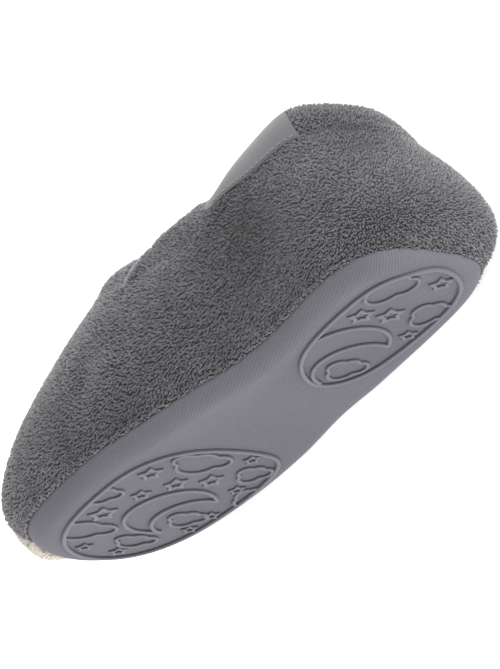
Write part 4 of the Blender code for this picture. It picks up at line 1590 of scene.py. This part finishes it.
@dataclass
class ToePanel:
    """The cream plush panel sewn over the toe: a patch of the upper's face with a rounded edge."""

    last: Last
    finish: Finish
    columns: int = 120
    rows: int = 44
    low: float = 0.04
    high: float = 0.36
    rounding: float = 0.75
    thickness: float = 2.0 * MM
    puff: float = 1.2 * MM
    bulge_at: float = -0.55           # where it bulges most, from -1 to 1 over it, and how far to each side
    bulge_reach: float = 0.5
    side_power: int = 16              # how abruptly it thins out at its sides and at its top
    top_power: int = 12
    gap: float = 0.3 * MM
    roll_rows: int = 10
    roll_drop: float = 0.7            # how far the roll hangs below the seam, as a share of its depth
    loop_rows: int = 30
    loop_span: float = 0.97           # how far the loops reach across the panel, and up it
    loop_rise: tuple = (0.02, 0.98)

    def top(self, across: Array) -> Array:
        """Height of the panel's edge as a share of the way up, at places over it from -1 to 1."""
        return self.low + (self.high - self.low) * np.maximum(1.0 - across ** 2, 0.0) ** self.rounding

    def hides(self, u: Array, t: Array) -> Array:
        """Which places of the upper's face lie under the panel."""
        across = 2 * PANEL_SPAN.share(self.last.station_of(u)) - 1
        return (np.abs(across) < 1.0)[:, None] & (t < self.top(across)[:, None])

    def front(self, across: Array, up: Array) -> tuple[Array, Array, Array]:
        """The panel's front, the upper's face under it and its normals.

        It stands off the face by a thickness that goes to nothing at its sides and top, and by a swell that
        is most at the sole. There it rolls under to the seam: half an ellipse, outwards and down.

        Args:
            across: Places over the panel from -1 to 1.
            up: Places from the sole to the panel's top from 0 to 1.

        Returns:
            Points of the front with the roll's rows before it, points of the face, and normals, on the last.
        """
        last = self.last
        u = last.at_station(PANEL_SPAN.number((across + 1.0) / 2))
        face, normals = last.face(u, self.top(across)[:, None] * up)
        face = last.on_floor_side(face)
        sides = np.sqrt(np.maximum(1.0 - across ** self.side_power, 0.0))[:, None]
        edge = sides * np.sqrt(1.0 - up ** self.top_power)
        bulge = bell((across - self.bulge_at) / self.bulge_reach)[:, None]
        swell = bulge * np.cos(np.pi / 2 * up)
        off = self.gap + edge * (self.thickness + self.puff * swell)
        seam, outward = last.seam_and_outward(u)
        foot = with_height(seam, last.sole_top(seam[:, 0]))
        out = with_height(outward, np.zeros(len(u)))
        angle = np.linspace(np.pi, 0.0, self.roll_rows, endpoint=False)
        deep = off[:, :1]
        roll = foot[:, None] + out[:, None] * (deep * (1.0 + np.cos(angle)) / 2)[..., None]
        roll[..., 2] -= deep * self.roll_drop * np.sin(angle) * bulge
        return np.concatenate([roll, face + normals * off[..., None]], axis=1), face, normals

    def cloth(self) -> tuple[Array, Array]:
        """The grid that the panel's loops stand on, and an array that says that none of it is bare."""
        across = np.linspace(-self.loop_span, self.loop_span, self.columns)
        front, _, _ = self.front(across, np.linspace(*self.loop_rise, self.loop_rows))
        return self.last.lay_down(front), np.zeros(front.shape[:2], bool)

    def build(self) -> bpy.types.Object:
        """Builds the patch as a flat pillow: thick in the middle and down to nothing at its edge.

        Returns:
            The piece toe_panel.
        """
        across, up = np.linspace(-1.0, 1.0, self.columns), np.linspace(0.0, 1.0, self.rows)
        front, face, normals = self.front(across, up)
        back = face + normals * self.gap
        placed = self.last.lay_down(np.concatenate([front, back[:, ::-1]], axis=1))
        placed[..., 2] = np.maximum(placed[..., 2], 0.0)
        values = np.full(placed.shape[:2], MIDDLE_TONE)
        piece = grid_object("toe_panel", placed, (False, True), self.finish, weld=True,
                            attributes={"tip": values, "tone": values})
        return settle(piece, Slot.CREAM_PLUSH, "toe_cap")


@dataclass
class SideLabel:
    """The satin ribbon folded over the collar's edge, and the stitches along its lower edge."""

    last: Last
    ribbon: Finish
    thread: Finish
    columns: int = 120
    leg_rows: int = 18
    fold_rows: int = 14
    drop_heel: float = 11.0 * MM
    drop_toe: float = 3.5 * MM
    drop_power: float = 3.5
    slant: float = 0.22            # stations by which the heel end leans
    slant_power: int = 3           # how soon the lean dies away towards the toe
    clearance: float = 0.12 * MM
    thickness: float = 0.6 * MM
    puff: float = 0.3 * MM
    stitch_pitch: float = 2.1 * MM
    stitch_length: float = 1.6 * MM
    stitch_radius: float = 0.17 * MM
    stitch_inset: float = 0.9 * MM
    stitch_highest: float = 0.6    # share of the ribbon's drop that the row of stitches stays below
    stitch_steps: int = 7
    stitch_sides: int = 6
    stitch_lift: float = 0.2       # height of a stitch's ends and of its arch, in its radius
    stitch_arch: float = 0.9

    def drop(self, place: Array) -> Array:
        """How far the ribbon hangs below the mouth at a share of its length."""
        return self.drop_heel + (self.drop_toe - self.drop_heel) * place ** self.drop_power

    def hides(self, u: Array, t: Array) -> Array:
        """Which places of the upper's face lie under the ribbon."""
        number = self.last.station_of(u)
        place = np.clip(LABEL_SPAN.share(number), 0.0, 1.0)
        down = self.last.depth(u, t) / self.drop(place)[:, None]
        heel_end = LABEL_SPAN.start + self.slant * (0.5 - down)
        return (down < 1.0) & (number[:, None] > heel_end) & (number[:, None] < LABEL_SPAN.end)

    def middle(self) -> tuple[Array, Array]:
        """The ribbon's middle surface and its drop below the mouth at each column.

        Up the outside of the collar, round a half circle over the lip and down inside, with a slight puff.

        Returns:
            Points on the last, columns by rows by 3, and drops.
        """
        last = self.last
        place = np.linspace(0.0, 1.0, self.columns)[:, None]
        drop = self.drop(place)
        off = self.clearance + self.thickness / 2
        down = np.linspace(1.0, 0.0, self.leg_rows)
        lean = self.slant * (0.5 - down) * (1.0 - place) ** self.slant_power
        u = last.at_station(LABEL_SPAN.number(place) + lean).ravel()
        leg, normals = (part.reshape(self.columns, self.leg_rows, 3)
                        for part in last.face(u, last.share(u, (drop * down).reshape(-1, 1))))
        swell = self.puff * np.sin(np.pi * down) * np.ones_like(drop)
        outer = leg + normals * (off + swell)[..., None]
        inner = (leg - normals * (last.wall + off))[:, ::-1]
        climb = unit(leg[:, -1] - leg[:, -2])
        angle = np.linspace(0.0, np.pi, self.fold_rows + 2)[1:-1]
        radius = last.wall / 2 + off
        centre = leg[:, -1] - normals[:, -1] * last.wall / 2
        fold = centre[:, None] + radius * (normals[:, -1:] * np.cos(angle)[:, None]
                                           + climb[:, None] * np.sin(angle)[:, None])
        return np.concatenate([outer, fold, inner], axis=1), drop

    def directions(self, middle: Array) -> tuple[Array, Array, Array]:
        """Steps along and across the ribbon at each point of its middle surface, and the normals there."""
        along, across = np.gradient(middle, axis=0), np.gradient(middle, axis=1)
        return along, across, unit(np.cross(across, along))

    def build(self) -> bpy.types.Object:
        """Builds the ribbon as two faces about its middle surface, closed at its edges.

        Returns:
            The piece ribbon_label.
        """
        middle, _ = self.middle()
        along, across, normals = self.directions(middle)
        half = np.full(middle.shape[:2], self.thickness / 2)
        half[0] = half[-1] = 0.0
        front, back = middle + normals * half[..., None], middle - normals * half[..., None]
        placed = self.last.lay_down(np.concatenate([front, back[:, ::-1]], axis=1))
        run = np.cumsum(np.linalg.norm(along, axis=-1), axis=0)
        climb = np.cumsum(np.linalg.norm(across, axis=-1), axis=1)
        weave = np.stack([run, climb, np.zeros_like(run)], axis=-1)
        weave = np.concatenate([weave, weave[:, ::-1]], axis=1)
        piece = grid_object("ribbon_label", placed, (False, True), self.ribbon, weld=True,
                            attributes={"weave": weave})
        return settle(piece, Slot.SATIN, "side_label")

    def build_stitches(self) -> bpy.types.Object:
        """Builds the row of stitches as short bent cords, joined.

        Each stitch is a tube whose radius falls to nothing at its ends and whose middle line is a low arch.

        Returns:
            The piece label_stitches.
        """
        middle, drop = self.middle()
        _, _, normals = self.directions(middle)
        row = np.clip(self.stitch_inset / drop[:, 0], 0.0, self.stitch_highest) * (self.leg_rows - 1)
        low = np.floor(row).astype(int)
        share = (row - low)[:, None]
        index = np.arange(self.columns)
        line = middle[index, low] * (1 - share) + middle[index, low + 1] * share
        run = run_along(line)
        marks = np.arange(self.stitch_pitch, run[-1] - 2 * self.stitch_pitch, self.stitch_pitch)
        span = np.linspace(-0.5, 0.5, self.stitch_steps)
        places = marks[:, None] + span * self.stitch_length
        core, lift = between(places, run, line), between(places, run, normals[index, low])
        bitangent = np.cross(unit(np.gradient(core, axis=1)), lift)
        rise = self.stitch_lift + self.stitch_arch * (1 - (2 * span) ** 2)
        core = core + lift * (self.thickness / 2 + self.stitch_radius * rise)[:, None]
        radius = self.stitch_radius * np.sqrt(np.maximum(1.0 - (2 * span) ** 4, 0.0))
        turn = np.linspace(0.0, 2 * np.pi, self.stitch_sides, endpoint=False)[:, None]
        ring = lift[:, :, None] * np.cos(turn) + bitangent[:, :, None] * np.sin(turn)
        placed = self.last.lay_down(core[:, :, None] + ring * radius[:, None, None])
        points, faces = joined([(stitch, False) for stitch in placed])
        piece = surface_object("label_stitches", points, faces, self.thread, weld=True)
        return settle(piece, Slot.SATIN)


class Lamp(NamedTuple):
    """A square softbox: its direction from the slipper in degrees, its distance, its size and its power.

    Azimuth 0 faces the sole, 90 the heel and 180 the collar.
    """

    name: str
    azimuth: float
    height: float
    distance: float
    size: float
    power: float


LAMPS = (
    Lamp("heel_softbox", 108.0, 22.0, 1.6, 1.2, 13.5),
    Lamp("vamp_softbox", 218.0, 34.0, 1.6, 1.6, 11.0),
    Lamp("front_softbox", -15.0, 10.0, 1.6, 1.0, 7.0),
)


@dataclass
class Studio:
    """The white table top, the soft light and the camera."""

    last: Last
    floor_finish: Finish
    aim: tuple = (90.22 * MM, -3.99 * MM, 26.99 * MM)  # on the last, at the image's middle
    image_right: tuple = (-0.565, -0.788, -0.245)      # the image's directions on the last
    image_down: tuple = (0.470, -0.063, -0.880)
    px_per_mm: float = 3.6765
    distance: float = 4.0
    near: float = 0.05
    sensor: float = 36.0
    floor_half: float = 20.0
    white: str = "ffffff"
    sky: float = 0.58                                  # light of the sky on the slipper
    backdrop: float = 1.0                              # and as it looks behind the table top

    def build_floor(self) -> bpy.types.Object:
        """Lays the table top under the slipper."""
        side = np.array([-self.floor_half, self.floor_half])
        x, y = np.meshgrid(side, side, indexing="ij")
        floor = surface_object("floor", np.stack([x, y, np.zeros_like(x)], axis=-1),
                               np.array([[0, 2, 3, 1]]), self.floor_finish)
        return floor

    def build_light(self) -> None:
        """Lights the slipper from a white sky and the softboxes.

        The sky behind the table top looks as white as it does.
        """
        world = bpy.data.worlds.new("studio_sky")
        world.use_nodes = True
        tree = world.node_tree
        sky = tree.nodes["Background"]
        sky.inputs["Color"].default_value = linear(self.white)
        sky.inputs["Strength"].default_value = self.sky
        backdrop = add_node(tree, "ShaderNodeBackground", None,
                            {"Color": linear(self.white), "Strength": self.backdrop})
        seen = add_node(tree, "ShaderNodeLightPath").outputs["Is Camera Ray"]
        both = add_node(tree, "ShaderNodeMixShader", None, None,
                        {0: seen, 1: sky.outputs[0], 2: backdrop.outputs[0]})
        tree.links.new(both.outputs[0], tree.nodes["World Output"].inputs["Surface"])
        bpy.context.scene.world = world
        for lamp in LAMPS:
            light = bpy.data.lights.new(lamp.name, "AREA")
            light.energy = lamp.power
            light.size = lamp.size
            softbox = bpy.data.objects.new(lamp.name, light)
            azimuth, height = math.radians(lamp.azimuth), math.radians(lamp.height)
            towards = np.array([math.sin(azimuth) * math.cos(height), -math.cos(azimuth) * math.cos(height),
                                math.sin(height)])
            right = unit(np.cross([0.0, 0.0, 1.0], towards))
            self.place(softbox, towards * lamp.distance, right, np.cross(towards, right), towards)
            softbox.visible_camera = False
            bpy.context.scene.collection.objects.link(softbox)

    def place(self, obj: bpy.types.Object, where: Array, right: Array, up: Array, back: Array) -> None:
        """Sets a camera or lamp at a place, looking against the direction back."""
        matrix = Matrix.Identity(4)
        for k, axis in enumerate((right, up, back, where)):
            for row in range(3):
                matrix[row][k] = float(axis[row])
        obj.matrix_world = matrix

    def build_camera(self) -> bpy.types.Object:
        """Sets the camera at the photograph's viewing angle, far off with a long lens.

        Returns:
            The camera.
        """
        right = unit(self.last.turn @ np.array(self.image_right))
        down = self.last.turn @ np.array(self.image_down)
        down = unit(down - right * (down @ right))
        back = np.cross(right, -down)
        data = bpy.data.cameras.new("photo_camera")
        half_height = IMAGE_HEIGHT / 2 / self.px_per_mm * MM
        data.sensor_width = self.sensor
        data.lens = self.sensor / 2 * self.distance / half_height
        data.clip_start, data.clip_end = self.near, 4 * self.floor_half
        camera = bpy.data.objects.new("photo_camera", data)
        aim = self.last.lay_down(np.array([self.aim]))[0]
        self.place(camera, aim + back * self.distance, right, -down, back)
        bpy.context.scene.collection.objects.link(camera)
        bpy.context.scene.camera = camera
        return camera


def main() -> None:
    """Builds the slipper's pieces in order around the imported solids, and the studio."""
    logging.basicConfig(level=logging.INFO, format="%(name)s %(message)s")
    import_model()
    bpy.context.scene.view_settings.view_transform = "Standard"
    last = Last()
    plush = LoopPlush("micro_terry_plush", roughness=0.95, sheen=0.9, sheen_roughness=0.38, specular=0.15)
    # The cream loops' roots are a little darker than their tips: painted shade between the loops.
    cream = LoopPlush("cream_terry_plush", roughness=0.95, sheen=0.2, specular=0.15,
                      root="dad2c5", tip="fbf4e9", spread=0.12)
    knit = KnitFoam("moulded_knit_foam", roughness=0.8, sheen=0.1, specular=0.25)
    # The tread lines are a lighter copy of the knit foam's colours: a painted highlight on their raised
    # tops.
    cords = KnitFoam("moulded_tread_foam_painted_highlight", roughness=0.75, sheen=0.1, specular=0.25,
                     colour="86848d", shade="7e7c85")
    brushed = BrushedFabric("brushed_tricot", roughness=0.95, sheen=0.3, specular=0.15)
    satin = SatinRibbon("woven_satin", roughness=0.45, sheen=0.1, specular=0.4)
    thread = SpunThread("spun_thread", roughness=0.7, specular=0.2)

    upper = PlushUpper(last, plush)
    panel = ToePanel(last, cream)
    label = SideLabel(last, satin, thread)
    binding = ThroatBinding(upper, brushed)
    upper.build()
    binding.build()
    cloth, bare, shade = upper.cloth((panel, label, binding))
    cuts = np.linspace(0, cloth.shape[1] - 1, len(Band) + 1).round().astype(int)
    for band, low, high in zip(Band, cuts[:-1], cuts[1:]):
        LoopPile(f"plush_pile_{band.value}", plush, Slot.PLUSH, seed=LoopPile.seed + low).build(
            cloth[:, low:high + 1], bare[:, low:high + 1], shade[:, low:high + 1], True)
    Lining(last, brushed).build()
    Footbed(last, brushed).build()
    KnitSole(last, knit).build()
    Tread(last, cords).build()
    panel.build()
    front, uncovered = panel.cloth()
    LoopPile("toe_panel_pile", cream, Slot.CREAM_PLUSH, height=0.35 * MM, seed=23).build(
        front, uncovered, np.zeros(uncovered.shape), False)
    label.build()
    label.build_stitches()

    studio = Studio(last, TableTop("white_acrylic", roughness=0.9, specular=0.1))
    studio.build_floor()
    studio.build_light()
    studio.build_camera()


if __name__ == "__main__":
    main()
